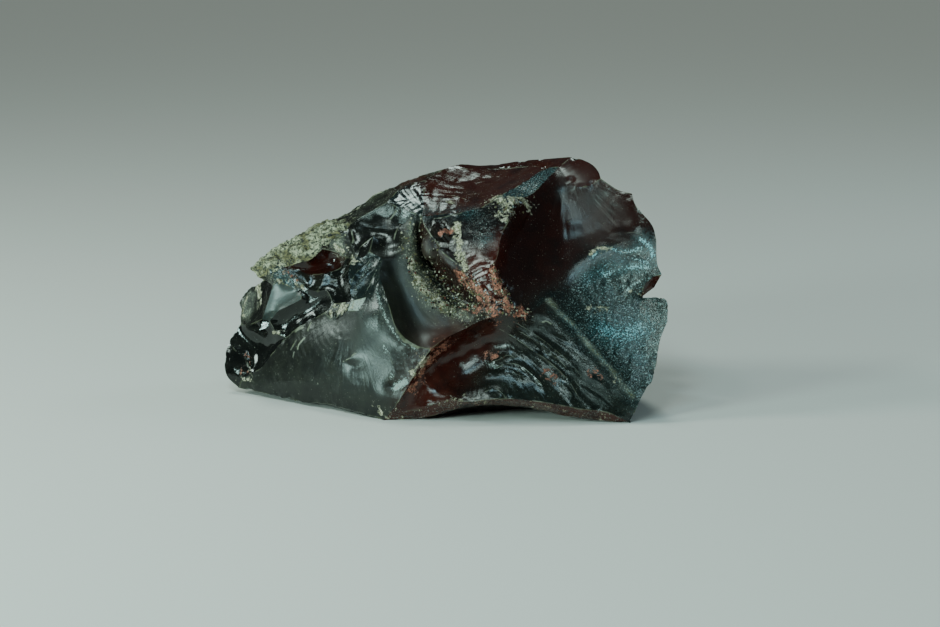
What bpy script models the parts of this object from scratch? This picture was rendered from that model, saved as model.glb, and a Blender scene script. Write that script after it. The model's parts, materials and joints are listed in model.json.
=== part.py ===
"""Obsidian chunk: a hand specimen of volcanic glass, broken into conchoidal scars.

The stone grew and broke as one piece, so it is one closed solid.  It is laid out as
a cage: named corners where three or more scars meet, curved ridges between them, and
one scar (facet) inside each loop of ridges.  Every facet is filled with a fine
triangle mesh, stretched over its rim like a membrane and then pressed in, as a
conchoidal break is, or swelled out a little.
"""

import bpy
import numpy as np
from mathutils import Vector
from mathutils.geometry import delaunay_2d_cdt

# Driving dimensions, in millimetres.  X runs along the stone, +Y goes to its back, Z is up.
MM = 0.001
FOOTPRINT_MIDDLE = (-1.5, 5.0, 0.0)  # in the cage's coordinates; it becomes the origin
FACET_SPACING = 3.1         # edge length of the triangles inside a facet
RIM_CLEARANCE = 0.62        # of the spacing, kept between a rim and the points inside it
GLASS_COLOUR = (0.010, 0.012, 0.011, 1.0)
GLASS_ROUGHNESS = 0.12
GLASS_IOR = 1.49
NODE_NAME = "obsidian_chunk"

# Where three or more scars meet: (across, back, up).
CORNERS = {
    "heel_foot": (-57, 7, 1.5),
    "heel_side": (-61.5, 11, 9),
    "heel_top": (-60, 13, 13.5),
    "wall_foot": (-57, 14, 18),
    "wall_top": (-49.5, 11, 31),
    "snout_under": (-51, 7, 32.5),
    "snout": (-53.5, 10, 34.5),
    "crust_end": (-30, 22, 46.5),
    "brow_left": (-7.5, 24, 58),
    "brow": (-0.5, 27, 59.5),
    "crest_right": (28.5, 26, 62.5),
    "peak_top": (34.5, 19, 64),
    "shoulder": (42, 9, 59.5),
    "shoulder_low": (50, 2, 56.5),
    "rim_high": (56, -7, 45.5),
    "notch_top": (57, -14, 37.5),
    "notch_heart": (52, -8, 30),
    "lobe": (58.5, -17, 25.5),
    "right_foot": (48.5, -25, 0),
    "front_foot_right": (-8.5, -21, 0),
    "front_foot_left": (-16, -22, 0),
    "lip_left": (-47.5, 5, 34),
    "lip": (-44.5, 5, 35.5),
    "lip_right": (-33.5, 7, 40.5),
    "crust_corner": (-27, 11, 44.5),
    "hollow_end": (-27, 5, 38.5),
    "chip_left": (-47, 6, 30.5),
    "chip_low": (-50, 4, 21.5),
    "sparkle_low": (-46, 6, 31.5),
    "chip_right": (-40.5, 3, 30),
    "band_left": (-48, 4, 21),
    "brown_top": (-40, 5, 35),
    "brown_low": (-38, 2, 30.5),
    "grey_top": (-32.5, 3, 34.5),
    "grey_low": (-34.5, 0, 30),
    "cream_left": (-30, -4, 27.5),
    "cream_top": (-25, -7.5, 28.9),
    "step_top": (-25, 1, 39),
    "face_top": (-32.5, -4, 25),
    "cream_right": (-26, -8, 26.5),
    "face_shoulder": (-43.5, 1.5, 17),
    "heel_inner": (-53.5, 5.5, 6),
    "white_low": (-23, -10.5, 27),
    "white_top": (-21, -9.5, 30.4),
    "flow_neck": (-14.5, -16, 29),
    "ridge_low": (-3.5, -21, 19),
    "ridge_foot": (-13, -23.5, 4),
    "ridge_mid": (5, -17.5, 23.5),
    "saddle": (13.5, -17, 27),
    "sliver_low": (-24, 2, 39.5),
    "sliver_right": (-20.5, 0, 41),
    "bowl_left": (-17, -2, 39.5),
    "bowl_right": (-10, 0, 41.5),
    "hub": (-6.5, 7, 49.5),
    "mirror_left": (-16, 12, 52.5),
    "strip_end": (-26.5, 14, 46),
    "mirror_top": (-5.5, 21, 57.5),
    "blue_foot_left": (14, 2, 55.5),
    "blue_foot_right": (18.5, 1, 55),
    "scar_left": (18, -15, 29),
    "crest_dip": (27.5, 22, 60.5),
    "scar_top": (31, 17, 61.5),
    "scar_low": (26, -12, 29.5),
    "hollow_foot": (1.5, -24.5, 6.5),
    "base_left": (-42, 12, 0),
    "base_back_left": (-24, 26, 0),
    "base_back_right": (12, 27, 0),
    "base_right": (42, -6, 0),
    "back_left_low": (-36, 31, 20),
    "back_low": (-8, 35, 17),
    "back_right_low": (20, 34, 22),
    "side_low": (42, 24, 20),
    "side_front": (53, 4, 17),
    "back_left_high": (-42, 27, 33),
    "back_high": (-18, 34, 44),
    "back_right_high": (32, 31, 46),
    "side_high": (45, 16, 42),
    "side_notch": (51, 2, 32),
    "notch_lip": (55, -12, 36.5),
    "notch_edge": (55.5, -9, 33),
    "crumb_shelf": (4, -6, 38.5),
    "crumb_bed": (0.5, -1, 30),
    "sliver_tip": (-19.5, 4, 44.5),
}

# What a ridge passes through between two corners.  A ridge not listed is straight.
BENDS = {
    ("chip_low", "chip_left"): [(-48.5, 5, 26)],
    ("wall_top", "wall_foot"): [(-54, 15, 28), (-57, 16, 24.5)],
    ("wall_foot", "chip_low"): [(-54, 9, 19)],
    ("sparkle_low", "chip_right"): [(-43, 4, 31)],
    ("chip_right", "lip"): [(-42, 4, 33.5)],
    ("band_left", "chip_right"): [(-45.5, 3, 24), (-42, 2, 26), (-39, 1, 28)],
    ("brown_low", "brown_top"): [(-38, 3, 33)],
    ("brown_top", "grey_top"): [(-36.5, 4, 34)],
    ("grey_top", "hollow_end"): [(-28.5, 3, 36)],
    ("hollow_end", "lip_right"): [(-30, 8, 39.5)],
    ("lip_right", "lip"): [(-36.5, 5, 38), (-40, 5, 37)],
    ("grey_low", "cream_left"): [(-32, -1, 30.5)],
    ("cream_top", "step_top"): [(-25.5, -5, 32.5), (-26, -2, 36)],
    ("face_shoulder", "face_top"): [(-39.5, -0.5, 20.5), (-35.5, -2, 23)],
    ("band_left", "face_shoulder"): [(-46, 3, 18)],
    ("face_top", "cream_right"): [(-29.5, -6.5, 23.5)],
    ("heel_inner", "face_shoulder"): [(-50.5, 4, 8), (-47.5, 3, 12)],
    ("heel_top", "heel_inner"): [(-58.5, 11, 11.5), (-55.5, 9, 9.5)],
    ("heel_side", "heel_foot"): [(-60.5, 9, 4.5)],
    ("heel_foot", "heel_inner"): [(-56, 6.5, 4)],
    ("heel_foot", "front_foot_left"): [
        (-50.5, 2, 1.5), (-39.5, -6, 1), (-31, -12, 1.5), (-22, -18.5, 1),
    ],
    ("front_foot_left", "white_low"): [
        (-16.5, -23, 7), (-17.5, -20, 12.5), (-18.5, -17, 18), (-20.5, -14, 22.5),
    ],
    ("white_top", "flow_neck"): [(-18.5, -13.5, 27)],
    ("flow_neck", "bowl_left"): [(-16, -12, 32.5), (-17.5, -7, 36)],
    ("sliver_right", "sliver_low"): [(-22, 0, 39.5)],
    ("sliver_tip", "sliver_low"): [(-23, 4.5, 41.5)],
    ("bowl_left", "bowl_right"): [(-12.5, -1, 40)],
    ("bowl_right", "hub"): [(-9, 4, 45.5)],
    ("hub", "mirror_left"): [(-11.5, 9, 51)],
    ("mirror_left", "strip_end"): [(-21, 13, 49.5)],
    ("crust_corner", "sliver_low"): [(-25.5, 6, 41.5)],
    ("crust_corner", "lip_right"): [(-30.5, 10, 42.5)],
    ("crust_end", "snout"): [
        (-34.5, 22, 45.5), (-37.5, 21, 44), (-41, 20, 41), (-46, 18, 39.5), (-50.5, 14, 37),
    ],
    ("mirror_left", "mirror_top"): [(-14, 16, 54.5), (-10, 18, 56.5)],
    ("brow_left", "crust_end"): [(-13, 23, 56), (-19, 23, 53), (-25.5, 23, 49)],
    ("hub", "mirror_top"): [(-6, 11, 52.5), (-6, 16, 55.5)],
    ("hub", "blue_foot_left"): [(0, 5, 50.5), (6, 3, 51.5), (11, 2, 53.5)],
    ("blue_foot_left", "crest_dip"): [(17.5, 8, 56.5), (22.5, 14, 58.5)],
    ("crest_dip", "brow"): [(24, 25, 60.5), (15, 27, 59.5), (5.5, 27, 59.5)],
    ("crest_right", "brow"): [(21, 29, 61.5), (15.5, 30, 60.5), (9.5, 30, 60), (4, 29, 60.5)],
    ("blue_foot_right", "scar_top"): [(23, 6, 55.5), (27, 11, 58.5)],
    ("crumb_shelf", "saddle"): [(4.5, -7, 37), (7, -10, 34.5), (10.5, -13.5, 31), (12.5, -15.5, 28)],
    ("scar_left", "blue_foot_right"): [
        (15, -14, 33.5), (13, -13, 38.5), (14, -10, 42.5), (15, -7, 47), (17.5, -3, 51),
    ],
    ("hub", "crumb_shelf"): [(-5.5, 5, 47), (-3.5, 2.5, 44.5), (-1, -1, 42)],
    ("shoulder", "peak_top"): [(41.5, 11.5, 61), (40, 14, 62.5), (37.5, 16.5, 63.5)],
    ("scar_top", "shoulder"): [(34.5, 10, 57.5), (38.5, 9, 57.5)],
    ("scar_left", "scar_low"): [(22.5, -14, 27.5)],
    ("scar_low", "rim_high"): [(32.5, -7, 33.5), (39, -4, 40.5), (46.5, -4, 43)],
    ("rim_high", "shoulder_low"): [(55, -4, 49), (51, 0, 53.5)],
    ("shoulder_low", "shoulder"): [(46.5, 5, 57)],
    ("right_foot", "lobe"): [(51.5, -24, 7), (54, -22, 10), (55.5, -20, 14.5), (56.5, -18, 20.5)],
    ("lobe", "notch_heart"): [(58, -15, 31)],
    ("notch_heart", "notch_lip"): [(53, -10, 34)],
    ("notch_top", "rim_high"): [(56, -11, 40)],
    ("scar_low", "right_foot"): [
        (30.5, -15, 25), (35, -17.5, 20), (39.5, -20, 16), (44, -22.5, 11), (47.5, -24.5, 5.5),
    ],
    ("hollow_foot", "right_foot"): [
        (5.5, -26, 6), (12, -25.5, 6.5), (19.5, -25.5, 6.5), (28, -26, 5.5), (35.5, -26, 4),
        (42.5, -25.5, 3),
    ],
    ("saddle", "hollow_foot"): [(14.5, -14, 20.5), (11, -14, 16), (6, -15, 13), (4, -17, 9.5)],
    ("hollow_foot", "ridge_foot"): [(-5, -23, 4), (-10.5, -22.5, 2.5)],
    ("front_foot_right", "right_foot"): [
        (-2.5, -22.5, 1.5), (4, -22.5, 3.5), (12, -21.5, 4), (19.5, -21.5, 3.5), (27.5, -22, 2),
        (34, -23, 1), (40.5, -24, 0.5),
    ],
    ("saddle", "ridge_mid"): [(9, -17, 25.5)],
    ("ridge_mid", "ridge_low"): [(0, -20, 21.5)],
    ("ridge_low", "ridge_foot"): [(-5.5, -22, 16.5), (-8, -23, 12.5), (-10, -24, 9)],
    ("ridge_low", "flow_neck"): [(-7, -20, 19.5), (-10.5, -19, 21.5), (-13, -18, 24.5)],
    ("ridge_mid", "bowl_right"): [
        (3, -14, 25), (-1.5, -12, 27), (-5, -9, 30), (-7.5, -6, 33), (-9, -3, 37),
    ],
    ("saddle", "crumb_bed"): [(8.5, -11, 27), (4.5, -6, 28)],
    ("crumb_bed", "hub"): [(-2.5, 1.5, 33.5), (-5, 4.5, 37), (-7, 6.5, 41), (-7.5, 7.5, 45)],
    ("base_back_right", "base_right"): [(36, 17, 0)],
    ("base_right", "front_foot_right"): [(12, -12, 0)],
    ("front_foot_left", "base_left"): [(-30, -8, 0)],
    ("heel_side", "back_left_low"): [(-53, 20, 12)],
    ("back_high", "back_right_high"): [(10, 36, 45)],
}

# Each scar: how far its middle swells (+) or is pressed in (-), and the corners around it.
FACETS = {
    "left_wall": (-0.8, "chip_low chip_left wall_top wall_foot"),
    "cortex_under": (-0.3, "wall_top chip_left sparkle_low lip_left snout_under"),
    "sparkle": (0.3, "sparkle_low chip_right lip lip_left"),
    "blue_chip": (-0.3, "chip_left chip_low band_left chip_right sparkle_low"),
    "brown_chip": (0.4, "chip_right brown_low brown_top lip"),
    "cavity": (-3, "brown_top grey_top hollow_end lip_right lip"),
    "grey_chip": (-0.3, "brown_low grey_low grey_top brown_top"),
    "step_wall": (-2, "grey_low cream_left cream_top step_top hollow_end grey_top"),
    "dark_band": (-1.5, "face_shoulder face_top cream_left grey_low brown_low chip_right "
                        "band_left"),
    "cream_chip": (0.3, "face_top cream_right cream_top cream_left"),
    "dark_scoop": (-2.5, "heel_inner face_shoulder band_left chip_low wall_foot heel_top"),
    "heel": (0.6, "heel_inner heel_top heel_side heel_foot"),
    "grey_face": (2, "heel_foot front_foot_left white_low cream_right face_top face_shoulder "
                     "heel_inner"),
    "white_chip": (0, "cream_right white_low white_top cream_top"),
    "hackle": (-1.5, "cream_top white_top flow_neck bowl_left sliver_right sliver_low step_top"),
    "black_sliver": (-0.6, "sliver_low sliver_right sliver_tip"),
    "upper_scar": (-2.5, "sliver_low sliver_tip sliver_right bowl_left bowl_right hub mirror_left "
                         "strip_end crust_corner"),
    "crumbly_chip": (0.4, "hollow_end step_top sliver_low crust_corner lip_right"),
    "cortex": (2.5, "lip_left lip lip_right crust_corner strip_end crust_end snout snout_under"),
    "top_strip": (-0.3, "strip_end mirror_left mirror_top brow brow_left crust_end"),
    "bright_chip": (-0.2, "hub mirror_top mirror_left"),
    "top_face": (-1, "hub blue_foot_left crest_dip brow mirror_top"),
    "back_bevel": (0.2, "crest_dip scar_top peak_top crest_right brow"),
    "blue_strip": (-0.2, "crest_dip blue_foot_left blue_foot_right scar_top"),
    "pillar": (0.8, "crumb_shelf saddle scar_left blue_foot_right blue_foot_left hub"),
    "peak": (-0.3, "shoulder peak_top scar_top"),
    "great_scar": (-5, "blue_foot_right scar_left scar_low rim_high shoulder_low shoulder "
                       "scar_top"),
    "blue_scar": (-3, "right_foot lobe notch_heart notch_lip notch_top rim_high scar_low"),
    "notch": (-0.6, "notch_lip notch_heart notch_edge notch_top"),
    "flow_face": (-1.2, "hollow_foot right_foot scar_low scar_left saddle"),
    "sole_edge": (0.2, "hollow_foot ridge_foot front_foot_left front_foot_right right_foot"),
    "red_hollow": (-3, "hollow_foot saddle ridge_mid ridge_low ridge_foot"),
    "bright_flow": (-0.5, "white_top white_low front_foot_left ridge_foot ridge_low flow_neck"),
    "bowl": (-3.5, "flow_neck ridge_low ridge_mid bowl_right bowl_left"),
    "dust_slope": (0.3, "hub bowl_right ridge_mid saddle crumb_bed"),
    "chip_slope": (0.5, "hub crumb_bed saddle crumb_shelf"),
    "base": (0, "base_left base_back_left base_back_right base_right front_foot_right "
                "front_foot_left"),
    "arch": (-0.8, "base_right right_foot front_foot_right"),
    "left_under": (0.2, "front_foot_left heel_foot base_left"),
    "back_left_low": (0.5, "heel_side back_left_low base_back_left base_left heel_foot"),
    "back_left": (-1.2, "heel_top wall_foot wall_top snout_under snout back_left_high "
                        "back_left_low heel_side"),
    "back_low": (-1, "back_left_low back_low back_right_low base_back_right base_back_left"),
    "back_mid": (-1.5, "back_left_high back_high back_low back_left_low"),
    "back_mid2": (-3, "back_high back_right_high back_right_low back_low"),
    "back_top_left": (1.5, "crust_end brow_left back_high back_left_high snout"),
    "back_top": (-1, "brow_left brow crest_right back_right_high back_high"),
    "back_right_low": (-1, "back_right_low side_low side_front base_right base_back_right"),
    "back_right": (-1.5, "back_right_high side_high side_low back_right_low"),
    "back_right2": (-0.8, "side_high side_notch side_front side_low"),
    "back_peak": (-1.5, "crest_right peak_top shoulder shoulder_low side_high back_right_high"),
    "back_edge": (-1, "shoulder_low rim_high notch_top side_notch side_high"),
    "back_notch": (-0.8, "notch_top notch_edge notch_heart lobe side_front side_notch"),
    "back_blade": (-1, "lobe right_foot base_right side_front"),
}


def curve_through(points, spacing):
    """Points about a spacing apart on a Catmull-Rom curve through the given ones."""
    padded = [2 * points[0] - points[1], *points, 2 * points[-1] - points[-2]]
    samples = []
    for before, start, end, after in zip(padded, padded[1:], padded[2:], padded[3:]):
        steps = max(1, round((end - start).length / spacing))
        for step in range(steps):
            t = step / steps
            bend = (2 * before - 5 * start + 4 * end - after) * t * t
            twist = (3 * start - before - 3 * end + after) * t ** 3
            samples.append(start + 0.5 * ((end - before) * t + bend + twist))
    return samples[1:]


class Cage:
    """The points of every ridge, each made once and shared by the facets on both sides."""

    def __init__(self):
        self.points = [Vector(place) for place in CORNERS.values()]
        self.corner_index = {name: index for index, name in enumerate(CORNERS)}
        self.ridges = {}

    def ridge(self, start, end):
        """Indices of the points strictly between two corners, in order."""
        if (end, start) in self.ridges:
            return self.ridges[end, start][::-1]
        if (start, end) not in self.ridges:
            key = (start, end) if (start, end) in BENDS else (end, start)
            bends = [Vector(place) for place in BENDS.get(key, [])]
            course = [Vector(CORNERS[key[0]]), *bends, Vector(CORNERS[key[1]])]
            first = len(self.points)
            self.points += curve_through(course, FACET_SPACING)
            self.ridges[key] = list(range(first, len(self.points)))
            return self.ridge(start, end)
        return self.ridges[start, end]

    def rim(self, corner_names):
        """Indices of all points around one facet."""
        loop = []
        for start, end in zip(corner_names, corner_names[1:] + corner_names[:1]):
            loop.append(self.corner_index[start])
            loop += self.ridge(start, end)
        return loop


def facet_axes(rim):
    """Centre of a rim and its plane's two axes and normal, by Newell's method."""
    centre = rim.mean(axis=0)
    normal = np.cross(rim - centre, np.roll(rim, -1, axis=0) - centre).sum(axis=0)
    normal /= np.linalg.norm(normal)
    across = np.cross((0.0, 0.0, 1.0) if abs(normal[2]) < 0.9 else (0.0, 1.0, 0.0), normal)
    across /= np.linalg.norm(across)
    return centre, np.stack([across, np.cross(normal, across), normal], axis=1)


def points_inside(outline, spacing):
    """A triangular lattice of points inside a flat outline, clear of its rim."""
    low, high = outline.min(axis=0), outline.max(axis=0)
    row_height = spacing * 0.75 ** 0.5
    lattice = []
    for row, y in enumerate(np.arange(low[1] + row_height / 2, high[1], row_height)):
        xs = np.arange(low[0] + spacing * (0.25 + 0.5 * (row % 2)), high[0], spacing)
        lattice += [(x, y) for x in xs]
    if not lattice:
        return np.empty((0, 2))
    spots = np.array(lattice)[:, None, :]
    start, end = outline[None], np.roll(outline, -1, axis=0)[None]
    along = end - start
    t = np.clip(((spots - start) * along).sum(2) / (along ** 2).sum(2), 0, 1)
    gap = np.linalg.norm(spots - start - along * t[..., None], axis=2).min(axis=1)
    straddles = (start[..., 1] > spots[..., 1]) != (end[..., 1] > spots[..., 1])
    rise = np.where(along[..., 1] == 0, 1e-9, along[..., 1])
    crossing = start[..., 0] + (spots[..., 1] - start[..., 1]) * along[..., 0] / rise
    inside = (straddles & (spots[..., 0] < crossing)).sum(axis=1) % 2 == 1
    return spots[inside & (gap > spacing * RIM_CLEARANCE), 0]


def relax(values, fixed_count, pairs, load):
    """Settle the free values until each is its neighbours' mean plus the load."""
    degree = np.bincount(pairs.ravel(), minlength=len(values)).astype(float)
    for _ in range(1500):
        total = np.bincount(pairs[:, 0], values[pairs[:, 1]], len(values))
        total += np.bincount(pairs[:, 1], values[pairs[:, 0]], len(values))
        settled = total / degree + load
        settled[:fixed_count] = values[:fixed_count]
        if np.abs(settled - values).max() < 1e-6:
            return settled
        values = settled
    return values


def fill_facet(rim, depth):
    """Triangles over one rim: the new inner points, and triples indexing rim + inner."""
    centre, axes = facet_axes(rim)
    flat_rim = (rim - centre) @ axes
    inner = points_inside(flat_rim[:, :2], FACET_SPACING)
    spots = np.vstack([flat_rim[:, :2], inner])
    rim_count = len(rim)
    made = delaunay_2d_cdt([Vector(spot) for spot in spots], [], [list(range(rim_count))], 1, 1e-5)
    if len(made[0]) != len(spots):
        raise ValueError("a facet's rim crosses itself")
    source = [origins[0] for origins in made[3]]
    triangles = np.array([[source[corner] for corner in face] for face in made[2]])
    pairs = np.vstack([triangles[:, [0, 1]], triangles[:, [1, 2]], triangles[:, [2, 0]]])
    pairs = np.unique(np.sort(pairs, axis=1), axis=0)
    height = np.concatenate([flat_rim[:, 2], np.full(len(inner), flat_rim[:, 2].mean())])
    height = relax(height, rim_count, pairs, 0.0)
    if len(inner):
        dish = relax(np.zeros(len(spots)), rim_count, pairs, 1.0)
        height += depth * dish / dish.max()
    placed = np.column_stack([spots, height]) @ axes.T + centre
    return placed[rim_count:], triangles


def build_stone():
    """Fill every facet of the cage and join them into one closed mesh."""
    cage = Cage()
    faces = []
    for name, (depth, corner_names) in FACETS.items():
        loop = cage.rim(corner_names.split())
        inner, triangles = fill_facet(np.array([cage.points[index] for index in loop]), depth)
        indices = np.array(loop + list(range(len(cage.points), len(cage.points) + len(inner))))
        cage.points += [Vector(place) for place in inner]
        faces += indices[triangles].tolist()
    mesh = bpy.data.meshes.new(NODE_NAME)
    middle = Vector(FOOTPRINT_MIDDLE)
    mesh.from_pydata([(point - middle) * MM for point in cage.points], [], faces)
    return mesh


def glass_material():
    """Black volcanic glass: opaque at this thickness, with a clear polish."""
    material = bpy.data.materials.new("obsidian")
    material.use_nodes = True
    shader = material.node_tree.nodes["Principled BSDF"]
    shader.inputs["Base Color"].default_value = GLASS_COLOUR
    shader.inputs["Roughness"].default_value = GLASS_ROUGHNESS
    shader.inputs["IOR"].default_value = GLASS_IOR
    return material


def main():
    for stale in list(bpy.data.objects):
        bpy.data.objects.remove(stale)
    mesh = build_stone()
    mesh.materials.append(glass_material())
    stone = bpy.data.objects.new(NODE_NAME, mesh)
    bpy.context.scene.collection.objects.link(stone)


main()
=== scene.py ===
"""Obsidian chunk: the finished surface of one broken piece of volcanic glass.

The stone is drawn as a cage of ridges, the same one that its solid has, and each scar
between the ridges is filled with a fine mesh that carries the ripples, hackles, chips
and crumbs of the real break.
"""

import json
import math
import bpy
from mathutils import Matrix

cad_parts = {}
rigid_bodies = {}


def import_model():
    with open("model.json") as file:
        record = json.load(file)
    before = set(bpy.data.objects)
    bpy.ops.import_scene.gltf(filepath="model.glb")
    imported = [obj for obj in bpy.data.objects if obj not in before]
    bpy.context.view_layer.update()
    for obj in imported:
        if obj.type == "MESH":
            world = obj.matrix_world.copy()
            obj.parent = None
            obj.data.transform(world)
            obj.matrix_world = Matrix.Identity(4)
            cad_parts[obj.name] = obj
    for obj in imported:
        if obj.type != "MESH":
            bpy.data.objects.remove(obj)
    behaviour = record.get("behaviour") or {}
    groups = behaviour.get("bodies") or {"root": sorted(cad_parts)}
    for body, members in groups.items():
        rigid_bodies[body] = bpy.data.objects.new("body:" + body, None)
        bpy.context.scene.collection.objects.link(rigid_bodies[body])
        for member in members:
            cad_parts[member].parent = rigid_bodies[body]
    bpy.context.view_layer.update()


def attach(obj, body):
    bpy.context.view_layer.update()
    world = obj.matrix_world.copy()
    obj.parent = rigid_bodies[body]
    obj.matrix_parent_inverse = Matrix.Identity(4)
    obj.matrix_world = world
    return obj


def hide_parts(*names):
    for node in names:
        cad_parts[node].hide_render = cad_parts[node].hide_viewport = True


bl_info = {
    "name": "Obsidian chunk",
    "version": (1, 0, 0),
    "blender": (4, 5, 0),
    "location": "3D View > Sidebar > Obsidian",
    "description": "Builds the finished obsidian chunk around its packed solid",
    "category": "Object",
}

import bmesh
import bpy
import numpy as np
from bpy.props import (
    FloatProperty, FloatVectorProperty, IntProperty, PointerProperty,
)
from bpy.types import Operator, Panel, PropertyGroup
from mathutils import Vector, noise
from mathutils.geometry import delaunay_2d_cdt
from mathutils.kdtree import KDTree

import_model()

MM = 0.001
NODE_NAME = "obsidian_chunk"
FOOTPRINT_MIDDLE = Vector((-1.5, 5.0, 0.0))  # in the cage's coordinates, mm

# Fineness of the finished surface, in mm unless said.
RIM_CLEARANCE = 0.6         # share of the spacing kept between a rim and the points inside it
HACKLE_WIDTH = 1.5          # across one hackle, halfway down a scar
HACKLE_RUN = 26.0           # along one hackle
WAVE_WIDTH = 1.5            # across one broken wave
WAVE_RUN = 6.0              # along one broken wave
RELIEF_FADE = 1.4           # how far from a rim the break lines reach their full height
RIPPLE_WANDER = 2.5         # how far, in radians, the swells shift the ripples
SHORTEST_REACH = 6.0        # least distance from the blow at which the lines are spaced
PATCH_SIZE = 6.0            # across the patches in which hackles or waves are strongest
SWELL_SIZE = 9.0            # across the slow swells of every scar
UNEVENNESS = 0.12           # height of those swells
SOFTENING_PASSES = 40       # how many times a worn ridge is smoothed
SOFTENING_STEP = 0.7        # how far one pass moves a point to its neighbours' mean
SHARP_ANGLE = 34.0          # degrees between two faces that show a hard line
FLAKE_EVERY = 9             # one flake for so many points of the hard ridges
FLAKED_RIDGE = 14.0         # shorter ridges keep their whole line
FLAKE_RADIUS = (0.5, 1.8)
FLAKE_JITTER = 0.3          # how far a flake sits off its ridge
FLAKE_SLOPE = (0.14, 0.32)  # depth of a flake as a share of its radius
EDGE_REACH = 1.2            # how far a chip bends what is around it
LINE_FAINTNESS = 0.45       # how much further off the faintest pale line counts
DRIFT_STEP = 0.8            # between the points that a drift's course is measured from
ROUGH_FROM = 0.15           # least share of rind, crumbs and dust that is uneven
GRAIN_SIZE = 1.1            # across the grains of rind, crumbs and dust
LUMP_SIZE = 3.2             # across their lumps
PIT_SPACING = 2.1           # between the pits of the rind
PIT_RADIUS = 0.42           # as a share of their spacing
PIT_DEPTH = 0.65
RIND_HEIGHT = 0.5           # of the rind's grains and lumps
CRUMB_HEIGHT = 0.5          # of the grains and lumps of crumbled glass
DUST_HEIGHT = 0.07          # of the dust's grains

# The red and blue-green tints are painted reflections, and the pale specks of frost are painted
# glints.
PAINTED_LOOKS = ("dust", "cream", "rust", "crumbs", "rind", "smoke", "mahogany", "teal",
                 "frost", "matte")
PLAIN_LOOK = dict(
    dust=0.06, cream=0.0, rust=0.0, crumbs=0.0, rind=0.0, smoke=0.0, mahogany=0.0, teal=0.0,
    frost=0.0, matte=0.0,
    ripple=0.03, hackle=0.06, chatter=0.0, pitch=4.5, strike=(0.0, 0.0, 40.0),
)

# The stage.  Azimuth 0 is in front of the stone, on the camera's side, and 90 is to its right.
FLOOR_REACH = 3.0           # m from the stone to each side of the floor
ROOM_GLOW = 0.08            # strength of the light from all around
ROOM_COLOUR = "#DDE3E6"
STONE_MIDDLE = Vector((0.0, 0.0, 0.025))  # what the lights face, m
CAMERA_AIM = Vector((0.0081, -0.005, 0.024))
# The light from above and behind, which is small and far away; its angles are in degrees.
OVERHEAD = dict(azimuth=-166, elevation=68, spread=14, strength=0.75, colour="#E4FFF6")
LIGHTS = (
    # name, azimuth, elevation, distance (m), size (m), radiance, colour
    ("left_key", -86, 33, 0.6, (0.15, 0.12), 22.0, "#E6FFF4"),
    ("left_front", -50, 14, 0.6, (0.14, 0.1), 44.0, "#D4FFF6"),
    ("front_left", -48, 57, 0.6, (0.09, 0.06), 16.0, "#DDFFFA"),
    ("front_top", -18, 56, 0.6, (0.12, 0.08), 16.0, "#BDF2FF"),
    ("front_high", -9, 42, 0.6, (0.08, 0.05), 34.0, "#DDFFFA"),
    ("front_low", 10, 33, 0.6, (0.1, 0.07), 6.0, "#D2FFF6"),
    ("right_rim", 112, 35, 0.6, (0.16, 0.16), 5.0, "#C8F4FF"),
)

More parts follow.
